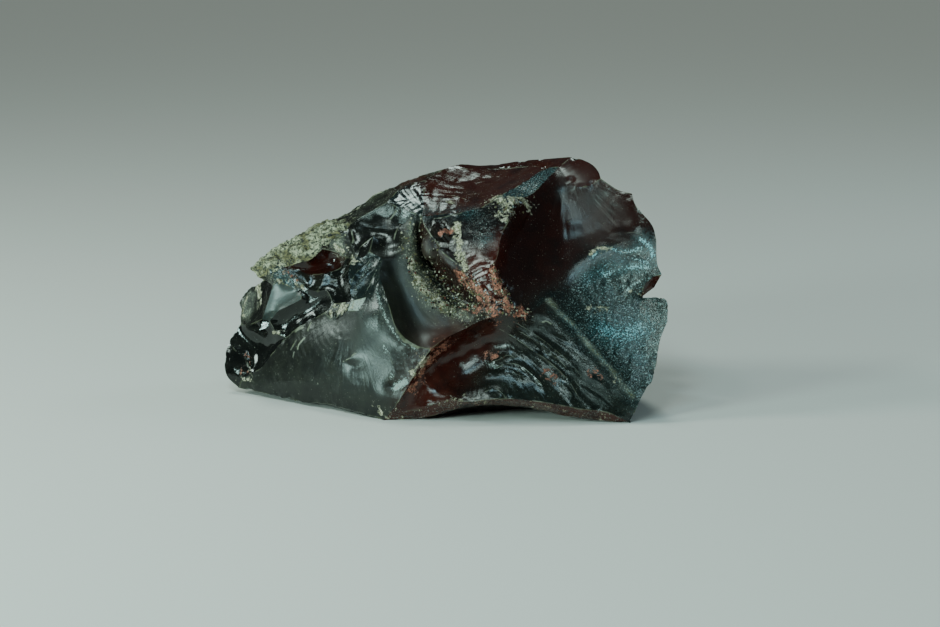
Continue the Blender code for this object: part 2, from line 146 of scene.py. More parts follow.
# Where three or more scars meet: (across, back, up).
CORNERS = {
    "heel_foot": (-57, 7, 1.5),
    "heel_side": (-61.5, 11, 9),
    "heel_top": (-60, 13, 13.5),
    "wall_foot": (-57, 14, 18),
    "wall_top": (-49.5, 11, 31),
    "snout_under": (-51, 7, 32.5),
    "snout": (-53.5, 10, 34.5),
    "crust_end": (-30, 22, 46.5),
    "brow_left": (-7.5, 24, 58),
    "brow": (-0.5, 27, 59.5),
    "crest_right": (28.5, 26, 62.5),
    "peak_top": (34.5, 19, 64),
    "shoulder": (42, 9, 59.5),
    "shoulder_low": (50, 2, 56.5),
    "rim_high": (56, -7, 45.5),
    "notch_top": (57, -14, 37.5),
    "notch_heart": (52, -8, 30),
    "lobe": (58.5, -17, 25.5),
    "right_foot": (48.5, -25, 0),
    "front_foot_right": (-8.5, -21, 0),
    "front_foot_left": (-16, -22, 0),
    "lip_left": (-47.5, 5, 34),
    "lip": (-44.5, 5, 35.5),
    "lip_right": (-33.5, 7, 40.5),
    "crust_corner": (-27, 11, 44.5),
    "hollow_end": (-27, 5, 38.5),
    "chip_left": (-47, 6, 30.5),
    "chip_low": (-50, 4, 21.5),
    "sparkle_low": (-46, 6, 31.5),
    "chip_right": (-40.5, 3, 30),
    "band_left": (-48, 4, 21),
    "brown_top": (-40, 5, 35),
    "brown_low": (-38, 2, 30.5),
    "grey_top": (-32.5, 3, 34.5),
    "grey_low": (-34.5, 0, 30),
    "cream_left": (-30, -4, 27.5),
    "cream_top": (-25, -7.5, 28.9),
    "step_top": (-25, 1, 39),
    "face_top": (-32.5, -4, 25),
    "cream_right": (-26, -8, 26.5),
    "face_shoulder": (-43.5, 1.5, 17),
    "heel_inner": (-53.5, 5.5, 6),
    "white_low": (-23, -10.5, 27),
    "white_top": (-21, -9.5, 30.4),
    "flow_neck": (-14.5, -16, 29),
    "ridge_low": (-3.5, -21, 19),
    "ridge_foot": (-13, -23.5, 4),
    "ridge_mid": (5, -17.5, 23.5),
    "saddle": (13.5, -17, 27),
    "sliver_low": (-24, 2, 39.5),
    "sliver_right": (-20.5, 0, 41),
    "bowl_left": (-17, -2, 39.5),
    "bowl_right": (-10, 0, 41.5),
    "hub": (-6.5, 7, 49.5),
    "mirror_left": (-16, 12, 52.5),
    "strip_end": (-26.5, 14, 46),
    "mirror_top": (-5.5, 21, 57.5),
    "blue_foot_left": (14, 2, 55.5),
    "blue_foot_right": (18.5, 1, 55),
    "scar_left": (18, -15, 29),
    "crest_dip": (27.5, 22, 60.5),
    "scar_top": (31, 17, 61.5),
    "scar_low": (26, -12, 29.5),
    "hollow_foot": (1.5, -24.5, 6.5),
    "base_left": (-42, 12, 0),
    "base_back_left": (-24, 26, 0),
    "base_back_right": (12, 27, 0),
    "base_right": (42, -6, 0),
    "back_left_low": (-36, 31, 20),
    "back_low": (-8, 35, 17),
    "back_right_low": (20, 34, 22),
    "side_low": (42, 24, 20),
    "side_front": (53, 4, 17),
    "back_left_high": (-42, 27, 33),
    "back_high": (-18, 34, 44),
    "back_right_high": (32, 31, 46),
    "side_high": (45, 16, 42),
    "side_notch": (51, 2, 32),
    "notch_lip": (55, -12, 36.5),
    "notch_edge": (55.5, -9, 33),
    "crumb_shelf": (4, -6, 38.5),
    "crumb_bed": (0.5, -1, 30),
    "sliver_tip": (-19.5, 4, 44.5),
}

# What a ridge passes through between two corners.  A ridge not listed is straight.
BENDS = {
    ("chip_low", "chip_left"): [(-48.5, 5, 26)],
    ("wall_top", "wall_foot"): [(-54, 15, 28), (-57, 16, 24.5)],
    ("wall_foot", "chip_low"): [(-54, 9, 19)],
    ("sparkle_low", "chip_right"): [(-43, 4, 31)],
    ("chip_right", "lip"): [(-42, 4, 33.5)],
    ("band_left", "chip_right"): [(-45.5, 3, 24), (-42, 2, 26), (-39, 1, 28)],
    ("brown_low", "brown_top"): [(-38, 3, 33)],
    ("brown_top", "grey_top"): [(-36.5, 4, 34)],
    ("grey_top", "hollow_end"): [(-28.5, 3, 36)],
    ("hollow_end", "lip_right"): [(-30, 8, 39.5)],
    ("lip_right", "lip"): [(-36.5, 5, 38), (-40, 5, 37)],
    ("grey_low", "cream_left"): [(-32, -1, 30.5)],
    ("cream_top", "step_top"): [(-25.5, -5, 32.5), (-26, -2, 36)],
    ("face_shoulder", "face_top"): [(-39.5, -0.5, 20.5), (-35.5, -2, 23)],
    ("band_left", "face_shoulder"): [(-46, 3, 18)],
    ("face_top", "cream_right"): [(-29.5, -6.5, 23.5)],
    ("heel_inner", "face_shoulder"): [(-50.5, 4, 8), (-47.5, 3, 12)],
    ("heel_top", "heel_inner"): [(-58.5, 11, 11.5), (-55.5, 9, 9.5)],
    ("heel_side", "heel_foot"): [(-60.5, 9, 4.5)],
    ("heel_foot", "heel_inner"): [(-56, 6.5, 4)],
    ("heel_foot", "front_foot_left"): [
        (-50.5, 2, 1.5), (-39.5, -6, 1), (-31, -12, 1.5), (-22, -18.5, 1),
    ],
    ("front_foot_left", "white_low"): [
        (-16.5, -23, 7), (-17.5, -20, 12.5), (-18.5, -17, 18), (-20.5, -14, 22.5),
    ],
    ("white_top", "flow_neck"): [(-18.5, -13.5, 27)],
    ("flow_neck", "bowl_left"): [(-16, -12, 32.5), (-17.5, -7, 36)],
    ("sliver_right", "sliver_low"): [(-22, 0, 39.5)],
    ("sliver_tip", "sliver_low"): [(-23, 4.5, 41.5)],
    ("bowl_left", "bowl_right"): [(-12.5, -1, 40)],
    ("bowl_right", "hub"): [(-9, 4, 45.5)],
    ("hub", "mirror_left"): [(-11.5, 9, 51)],
    ("mirror_left", "strip_end"): [(-21, 13, 49.5)],
    ("crust_corner", "sliver_low"): [(-25.5, 6, 41.5)],
    ("crust_corner", "lip_right"): [(-30.5, 10, 42.5)],
    ("crust_end", "snout"): [
        (-34.5, 22, 45.5), (-37.5, 21, 44), (-41, 20, 41), (-46, 18, 39.5), (-50.5, 14, 37),
    ],
    ("mirror_left", "mirror_top"): [(-14, 16, 54.5), (-10, 18, 56.5)],
    ("brow_left", "crust_end"): [(-13, 23, 56), (-19, 23, 53), (-25.5, 23, 49)],
    ("hub", "mirror_top"): [(-6, 11, 52.5), (-6, 16, 55.5)],
    ("hub", "blue_foot_left"): [(0, 5, 50.5), (6, 3, 51.5), (11, 2, 53.5)],
    ("blue_foot_left", "crest_dip"): [(17.5, 8, 56.5), (22.5, 14, 58.5)],
    ("crest_dip", "brow"): [(24, 25, 60.5), (15, 27, 59.5), (5.5, 27, 59.5)],
    ("crest_right", "brow"): [(21, 29, 61.5), (15.5, 30, 60.5), (9.5, 30, 60), (4, 29, 60.5)],
    ("blue_foot_right", "scar_top"): [(23, 6, 55.5), (27, 11, 58.5)],
    ("crumb_shelf", "saddle"): [(4.5, -7, 37), (7, -10, 34.5), (10.5, -13.5, 31), (12.5, -15.5, 28)],
    ("scar_left", "blue_foot_right"): [
        (15, -14, 33.5), (13, -13, 38.5), (14, -10, 42.5), (15, -7, 47), (17.5, -3, 51),
    ],
    ("hub", "crumb_shelf"): [(-5.5, 5, 47), (-3.5, 2.5, 44.5), (-1, -1, 42)],
    ("shoulder", "peak_top"): [(41.5, 11.5, 61), (40, 14, 62.5), (37.5, 16.5, 63.5)],
    ("scar_top", "shoulder"): [(34.5, 10, 57.5), (38.5, 9, 57.5)],
    ("scar_left", "scar_low"): [(22.5, -14, 27.5)],
    ("scar_low", "rim_high"): [(32.5, -7, 33.5), (39, -4, 40.5), (46.5, -4, 43)],
    ("rim_high", "shoulder_low"): [(55, -4, 49), (51, 0, 53.5)],
    ("shoulder_low", "shoulder"): [(46.5, 5, 57)],
    ("right_foot", "lobe"): [(51.5, -24, 7), (54, -22, 10), (55.5, -20, 14.5), (56.5, -18, 20.5)],
    ("lobe", "notch_heart"): [(58, -15, 31)],
    ("notch_heart", "notch_lip"): [(53, -10, 34)],
    ("notch_top", "rim_high"): [(56, -11, 40)],
    ("scar_low", "right_foot"): [
        (30.5, -15, 25), (35, -17.5, 20), (39.5, -20, 16), (44, -22.5, 11), (47.5, -24.5, 5.5),
    ],
    ("hollow_foot", "right_foot"): [
        (5.5, -26, 6), (12, -25.5, 6.5), (19.5, -25.5, 6.5), (28, -26, 5.5), (35.5, -26, 4),
        (42.5, -25.5, 3),
    ],
    ("saddle", "hollow_foot"): [(14.5, -14, 20.5), (11, -14, 16), (6, -15, 13), (4, -17, 9.5)],
    ("hollow_foot", "ridge_foot"): [(-5, -23, 4), (-10.5, -22.5, 2.5)],
    ("front_foot_right", "right_foot"): [
        (-2.5, -22.5, 1.5), (4, -22.5, 3.5), (12, -21.5, 4), (19.5, -21.5, 3.5), (27.5, -22, 2),
        (34, -23, 1), (40.5, -24, 0.5),
    ],
    ("saddle", "ridge_mid"): [(9, -17, 25.5)],
    ("ridge_mid", "ridge_low"): [(0, -20, 21.5)],
    ("ridge_low", "ridge_foot"): [(-5.5, -22, 16.5), (-8, -23, 12.5), (-10, -24, 9)],
    ("ridge_low", "flow_neck"): [(-7, -20, 19.5), (-10.5, -19, 21.5), (-13, -18, 24.5)],
    ("ridge_mid", "bowl_right"): [
        (3, -14, 25), (-1.5, -12, 27), (-5, -9, 30), (-7.5, -6, 33), (-9, -3, 37),
    ],
    ("saddle", "crumb_bed"): [(8.5, -11, 27), (4.5, -6, 28)],
    ("crumb_bed", "hub"): [(-2.5, 1.5, 33.5), (-5, 4.5, 37), (-7, 6.5, 41), (-7.5, 7.5, 45)],
    ("base_back_right", "base_right"): [(36, 17, 0)],
    ("base_right", "front_foot_right"): [(12, -12, 0)],
    ("front_foot_left", "base_left"): [(-30, -8, 0)],
    ("heel_side", "back_left_low"): [(-53, 20, 12)],
    ("back_high", "back_right_high"): [(10, 36, 45)],
}

# Each scar: how far its middle swells (+) or is pressed in (-), and the corners around it.
FACETS = {
    "left_wall": (-0.8, "chip_low chip_left wall_top wall_foot"),
    "cortex_under": (-0.3, "wall_top chip_left sparkle_low lip_left snout_under"),
    "sparkle": (0.3, "sparkle_low chip_right lip lip_left"),
    "blue_chip": (-0.3, "chip_left chip_low band_left chip_right sparkle_low"),
    "brown_chip": (0.4, "chip_right brown_low brown_top lip"),
    "cavity": (-3, "brown_top grey_top hollow_end lip_right lip"),
    "grey_chip": (-0.3, "brown_low grey_low grey_top brown_top"),
    "step_wall": (-2, "grey_low cream_left cream_top step_top hollow_end grey_top"),
    "dark_band": (-1.5, "face_shoulder face_top cream_left grey_low brown_low chip_right "
                        "band_left"),
    "cream_chip": (0.3, "face_top cream_right cream_top cream_left"),
    "dark_scoop": (-2.5, "heel_inner face_shoulder band_left chip_low wall_foot heel_top"),
    "heel": (0.6, "heel_inner heel_top heel_side heel_foot"),
    "grey_face": (2, "heel_foot front_foot_left white_low cream_right face_top face_shoulder "
                     "heel_inner"),
    "white_chip": (0, "cream_right white_low white_top cream_top"),
    "hackle": (-1.5, "cream_top white_top flow_neck bowl_left sliver_right sliver_low step_top"),
    "black_sliver": (-0.6, "sliver_low sliver_right sliver_tip"),
    "upper_scar": (-2.5, "sliver_low sliver_tip sliver_right bowl_left bowl_right hub mirror_left "
                         "strip_end crust_corner"),
    "crumbly_chip": (0.4, "hollow_end step_top sliver_low crust_corner lip_right"),
    "cortex": (2.5, "lip_left lip lip_right crust_corner strip_end crust_end snout snout_under"),
    "top_strip": (-0.3, "strip_end mirror_left mirror_top brow brow_left crust_end"),
    "bright_chip": (-0.2, "hub mirror_top mirror_left"),
    "top_face": (-1, "hub blue_foot_left crest_dip brow mirror_top"),
    "back_bevel": (0.2, "crest_dip scar_top peak_top crest_right brow"),
    "blue_strip": (-0.2, "crest_dip blue_foot_left blue_foot_right scar_top"),
    "pillar": (0.8, "crumb_shelf saddle scar_left blue_foot_right blue_foot_left hub"),
    "peak": (-0.3, "shoulder peak_top scar_top"),
    "great_scar": (-5, "blue_foot_right scar_left scar_low rim_high shoulder_low shoulder "
                       "scar_top"),
    "blue_scar": (-3, "right_foot lobe notch_heart notch_lip notch_top rim_high scar_low"),
    "notch": (-0.6, "notch_lip notch_heart notch_edge notch_top"),
    "flow_face": (-1.2, "hollow_foot right_foot scar_low scar_left saddle"),
    "sole_edge": (0.2, "hollow_foot ridge_foot front_foot_left front_foot_right right_foot"),
    "red_hollow": (-3, "hollow_foot saddle ridge_mid ridge_low ridge_foot"),
    "bright_flow": (-0.5, "white_top white_low front_foot_left ridge_foot ridge_low flow_neck"),
    "bowl": (-3.5, "flow_neck ridge_low ridge_mid bowl_right bowl_left"),
    "dust_slope": (0.3, "hub bowl_right ridge_mid saddle crumb_bed"),
    "chip_slope": (0.5, "hub crumb_bed saddle crumb_shelf"),
    "base": (0, "base_left base_back_left base_back_right base_right front_foot_right "
                "front_foot_left"),
    "arch": (-0.8, "base_right right_foot front_foot_right"),
    "left_under": (0.2, "front_foot_left heel_foot base_left"),
    "back_left_low": (0.5, "heel_side back_left_low base_back_left base_left heel_foot"),
    "back_left": (-1.2, "heel_top wall_foot wall_top snout_under snout back_left_high "
                        "back_left_low heel_side"),
    "back_low": (-1, "back_left_low back_low back_right_low base_back_right base_back_left"),
    "back_mid": (-1.5, "back_left_high back_high back_low back_left_low"),
    "back_mid2": (-3, "back_high back_right_high back_right_low back_low"),
    "back_top_left": (1.5, "crust_end brow_left back_high back_left_high snout"),
    "back_top": (-1, "brow_left brow crest_right back_right_high back_high"),
    "back_right_low": (-1, "back_right_low side_low side_front base_right base_back_right"),
    "back_right": (-1.5, "back_right_high side_high side_low back_right_low"),
    "back_right2": (-0.8, "side_high side_notch side_front side_low"),
    "back_peak": (-1.5, "crest_right peak_top shoulder shoulder_low side_high back_right_high"),
    "back_edge": (-1, "shoulder_low rim_high notch_top side_notch side_high"),
    "back_notch": (-0.8, "notch_top notch_edge notch_heart lobe side_front side_notch"),
    "back_blade": (-1, "lobe right_foot base_right side_front"),
}

# Folds drawn on the scars: (scar, height, reach, share of pale dust, course).
# A fold stands up, or is sunk if its height is negative, and fades out over its reach (mm).
FOLDS = {
    # This fold's pale line is a painted glint along the crest.
    "flow_crest": ("bright_flow", 0.94, 2.5, 0.4, [
        (-16, -18, 17.5), (-14.5, -19, 16.5), (-13.5, -20, 14.5), (-13, -21, 13),
        (-13.5, -21.5, 11),
    ]),
    "flow_crack": ("grey_face bright_flow", -0.59, 1.5, 0, [
        (-16.5, -15, 26), (-18, -15, 23.5), (-20, -15, 21), (-21.5, -15.5, 18.5),
    ]),
    "swirl": ("grey_face", -0.45, 2.5, 0.2, [
        (-26.5, -14, 14), (-25, -15.5, 13), (-23, -16.5, 13), (-21.5, -17, 14.5),
        (-19.5, -17.5, 15.5),
    ]),
    "swirl_tail": ("grey_face", -0.35, 2.5, 0, [
        (-19, -18.5, 14.5), (-18.5, -19.5, 12), (-17.5, -21.5, 9),
    ]),
    "low_fold": ("grey_face", 0.35, 4, 0, [
        (-50, 2.5, 4), (-44, -2.5, 5.5), (-38.5, -7, 6.5), (-33, -11, 6), (-26.5, -15.5, 4.5),
        (-21, -19.5, 3),
    ]),
    "scratch_1": ("grey_face", 0.12, 0.8, 1, [
        (-36.5, -2.5, 22), (-37, -3, 20),
    ]),
    "scratch_2": ("grey_face", 0.12, 0.8, 1, [
        (-38.5, -1.5, 20.5), (-40, -0.5, 19.5), (-41.5, 0, 18),
    ]),
    "scratch_3": ("grey_face", 0.12, 0.8, 1, [
        (-38, -3.5, 18), (-39.5, -3, 16), (-40, -3.5, 15),
    ]),
    "scratch_4": ("grey_face", 0.12, 0.8, 1, [
        (-40.5, -2, 17), (-42, -2, 14.5),
    ]),
    "scratch_5": ("grey_face", 0.1, 0.8, 0.8, [
        (-41, -3, 14), (-41, -3, 12.5),
    ]),
    "scratch_6": ("grey_face", 0.12, 0.8, 0.8, [
        (-42.5, 0.5, 17), (-43, 0, 15.5),
    ]),
    "scratch_7": ("grey_face", 0.1, 0.8, 0.7, [
        (-27.5, -11, 19.5), (-29, -10.5, 18),
    ]),
    "scratch_8": ("grey_face", 0.15, 0.8, 0.8, [
        (-23.5, -15, 16.5), (-25, -14.5, 15), (-27, -14, 14),
    ]),
    "hackle_1": ("hackle", 0.37, 0.9, 0.5, [
        (-20.5, -1, 38.5), (-23.5, -2, 35.5), (-25.5, -5, 32.5),
    ]),
    "hackle_2": ("hackle", 0.42, 0.9, 0.3, [
        (-19, -2.5, 37.5), (-22, -3.5, 34), (-24.5, -6.5, 30.5),
    ]),
    "hackle_3": ("hackle", 0.42, 0.9, 0.5, [
        (-18.5, -4, 37), (-20, -6, 33.5), (-22, -8, 30.5),
    ]),
    "hackle_4": ("hackle bright_flow", 0.42, 0.9, 0.3, [
        (-17.5, -7, 35.5), (-18.5, -8.5, 32), (-19.5, -10.5, 29.5), (-20.5, -11.5, 27),
    ]),
    "hackle_5": ("hackle bright_flow", 0.48, 0.9, 0.4, [
        (-17.5, -9, 34), (-16, -12.5, 31), (-14.5, -15.5, 29.5),
    ]),
    "hackle_6": ("hackle", 0.21, 0.9, 0.3, [
        (-16.5, -12, 30.5), (-17, -13, 28.5), (-18, -14, 27),
    ]),
    "crescent": ("upper_scar", 0.5, 1.2, 1, [
        (-26, 12, 45), (-25.5, 10.5, 44), (-25, 8, 42.5), (-25.5, 6.5, 42),
    ]),
    "scar_line_1": ("upper_scar", 0.12, 0.8, 0.8, [
        (-13.5, 10, 50.5), (-15, 10.5, 48),
    ]),
    "scar_line_2": ("upper_scar", 0.15, 0.8, 0.8, [
        (-12.5, 8.5, 47), (-13.5, 7.5, 45), (-14, 5.5, 43),
    ]),
    "scar_band": ("upper_scar", 0.25, 2, 0, [
        (-25.5, 13.5, 46), (-22.5, 11.5, 45), (-19, 7.5, 44),
    ]),
    "bowl_edge": ("bowl", -0.2, 1.5, 0.3, [
        (-15.5, -10.5, 32.5), (-14.5, -10.5, 31),
    ]),
    "crease_scratch": ("blue_scar", 0.15, 1, 0.9, [
        (38.5, -9.5, 27.5), (40.5, -9, 27.5), (43.5, -9, 27.5),
    ]),
    "ripple_1": ("great_scar", 0.5, 1.2, 0.4, [
        (44, 1, 46.5), (47, -1, 46), (50, -2.5, 46.5), (52.5, -4.5, 46.5),
    ]),
    "ripple_2": ("great_scar blue_scar", -0.56, 1.2, 0, [
        (42, -1, 44), (46, -2.5, 44.5), (50.5, -4.5, 44.5), (54, -6.5, 44),
    ]),
    "ripple_3": ("great_scar blue_scar", 0.74, 1.3, 0.5, [
        (39.5, -4, 40.5), (39, -3, 41.5), (41.5, -2.5, 42), (44.5, -3.5, 42.5), (48, -5, 42),
        (52, -6, 42.5),
    ]),
    "ripple_4": ("blue_scar", -0.5, 1.2, 0, [
        (43, -4.5, 39.5), (46.5, -5, 40.5), (51, -6.5, 41), (54, -9.5, 40),
    ]),
    "ripple_5": ("blue_scar", 0.66, 1.2, 0.3, [
        (43, -4.5, 38), (46.5, -5, 39), (50.5, -6.5, 39.5), (53.5, -9.5, 39),
    ]),
    "ripple_6": ("blue_scar", 0.56, 1.2, 0.2, [
        (42.5, -5.5, 35.5), (45.5, -5.5, 36.5), (49, -6.5, 38), (53.5, -9.5, 38.5),
    ]),
    "ripple_7": ("blue_scar", 0.5, 1.0, 0.2, [
        (48, -7.5, 32), (48.5, -7, 34.5), (50, -7.5, 36.5),
    ]),
    "ripple_8": ("blue_scar", 0.56, 1.2, 0.5, [
        (48, -8, 30), (50, -8, 32.5), (52, -9.5, 35),
    ]),
    "flow_1": ("flow_face", 0.68, 1.0, 0.5, [
        (14.5, -15.5, 23.5), (18.5, -15.5, 20.5), (23, -17, 17.5), (27, -18.5, 15),
        (32, -21.5, 11), (35.5, -24.5, 6),
    ]),
    "flow_2": ("flow_face", 0.59, 1.0, 0.4, [
        (16.5, -15.5, 24), (21, -15.5, 21.5), (26.5, -17, 18), (31, -19.5, 14.5), (35, -22.5, 9.5),
    ]),
    "flow_3": ("flow_face", 0.68, 1.0, 0.4, [
        (18.5, -15, 25), (23, -15.5, 22), (27.5, -17, 19), (33, -19.5, 14.5), (36.5, -22, 11),
    ]),
    "flow_4": ("flow_face", 0.85, 1.5, 0.4, [
        (10.5, -15.5, 14), (13.5, -16.5, 14.5), (16.5, -16.5, 16), (18.5, -17, 15.5),
    ]),
    "flow_5": ("flow_face", 0.77, 1.2, 0.5, [
        (13.5, -17.5, 13), (17, -17.5, 14), (20, -18.5, 13.5), (22.5, -20, 12), (25, -22, 10),
        (27, -24.5, 7),
    ]),
    "flow_6": ("flow_face", 0.68, 1.2, 0.3, [
        (8.5, -16.5, 12), (12.5, -18.5, 11.5), (16.5, -19, 12.5), (19.5, -20, 11.5), (24, -22, 10),
    ]),
    "flow_7": ("flow_face", 0.77, 1.2, 0.4, [
        (25.5, -17.5, 17.5), (27.5, -18, 16.5), (30.5, -19, 15), (33, -20.5, 12.5),
    ]),
    "flow_8": ("flow_face", 0.51, 1.0, 0.5, [
        (10.5, -23, 8), (13, -22.5, 8.5), (14.5, -23.5, 8), (16, -25, 7),
    ]),
    "flow_9": ("flow_face", 0.51, 1.0, 0.4, [
        (29, -21.5, 10.5), (31.5, -22.5, 9), (34, -24.5, 6.5),
    ]),
    "short_line": ("flow_face", 0.15, 0.8, 1, [
        (23.5, -14.5, 24.5), (26, -14.5, 25),
    ]),
    "short_line_2": ("flow_face", 0.15, 0.8, 0.7, [
        (26.5, -14.5, 25), (28, -15, 24.5),
    ]),
    "hollow_line": ("red_hollow", 0.25, 1.2, 0.3, [
        (-4.5, -21.5, 17.5), (-2.5, -20, 19.5), (1.5, -18, 20.5), (6.5, -15, 21),
    ]),
    "hollow_line_2": ("red_hollow", 0.3, 1.2, 0.4, [
        (-7, -21.5, 13), (-4.5, -20.5, 15.5), (-1.5, -18, 17.5),
    ]),
    "top_line_1": ("top_face", 0.25, 1.2, 0.8, [
        (0.5, 14, 54), (3, 12.5, 54), (6.5, 9, 53.5),
    ]),
    "top_line_2": ("top_face pillar", 0.25, 1.2, 0.6, [
        (-4, 5.5, 49), (0, 4.5, 49.5), (4, 3.5, 51), (8, 3, 52.5),
    ]),
    "top_line_3": ("top_face", 0.2, 1.5, 0.2, [
        (-4.5, 10.5, 52.5), (0, 12, 53), (6.5, 12.5, 54.5), (12, 13.5, 55.5),
    ]),
    "top_line_4": ("top_face", -0.25, 1.5, 0, [
        (-1.5, 18, 56), (4, 21, 57), (12, 22, 58), (19, 20.5, 58.5),
    ]),
    "band_ridge": ("dark_band", 0.3, 1.2, 0.3, [
        (-39.5, 1.5, 25), (-36, 1, 27), (-33.5, -0.5, 29),
    ]),
    "band_gloss": ("dark_band", -0.3, 1.5, 0, [
        (-44, 3, 24), (-40.5, 2, 26),
    ]),
    "step_line": ("step_wall", 0.35, 1.2, 0.4, [
        (-32.5, 1.5, 32), (-30, 1.5, 32.5), (-28.5, 1.5, 33.5), (-26, 0, 36.5),
    ]),
    "step_line_2": ("step_wall", 0.3, 1.0, 0.2, [
        (-31.5, 2.5, 34), (-28.5, 2.5, 35.5), (-25.5, 1, 37.5),
    ]),
    "scoop_line": ("dark_scoop", 0.35, 1.2, 0.5, [
        (-55, 10, 11), (-54.5, 8, 8.5), (-53, 5.5, 6.5),
    ]),
    "wall_line": ("left_wall", 0.35, 1.2, 0.6, [
        (-54.5, 15, 27), (-55.5, 14.5, 23.5), (-56, 13.5, 19.5),
    ]),
    "wall_line_2": ("left_wall", 0.3, 1.2, 0.5, [
        (-51, 12.5, 29.5), (-51, 11, 26.5), (-51.5, 9.5, 23.5),
    ]),
    # This fold's pale line is a painted glint along the crest.
    "flow_crest_2": ("bright_flow", 0.5, 1.6, 1, [
        (-13.5, -17.5, 25.5), (-12.5, -18.5, 23), (-10.5, -19, 20.5), (-8.5, -19.5, 19.5),
        (-7, -20, 19),
    ]),
}

# Small flat chips: (scar, which way the chip faces, how far its middle is sunk, outline).
CHIPS = {
    "mirror_chip": ("bright_flow", (-0.54, -0.68, 0.49), 0.2, [
        (-14, -22.5, 9.5), (-12, -22.5, 10.5), (-10.5, -22.5, 11), (-9.5, -23.5, 10),
        (-11, -23.5, 9), (-13, -23, 8),
    ]),
    "small_blue": ("dark_scoop", (-0.37, -0.88, 0.29), 0.1, [
        (-50.5, 5, 21), (-48.5, 4, 21.5), (-48.5, 5, 19), (-50, 6.5, 18),
    ]),
}

# Rounded lobes: (rise, width, azimuth and elevation they face, both ends of the long axis).
LOBES = {
    "wedge": (1.3, 4.2, (-48, 38), (-4.5, 5, 48), (2, -2, 43.5)),
    "upper_lobe": (2.2, 5.2, (-35, 12), (-5, 4, 44.5), (-3, 1.5, 38)),
    "lower_lobe": (2.0, 4.0, (-28, 12), (-1.5, -0.5, 42), (5, -7.5, 36)),
}
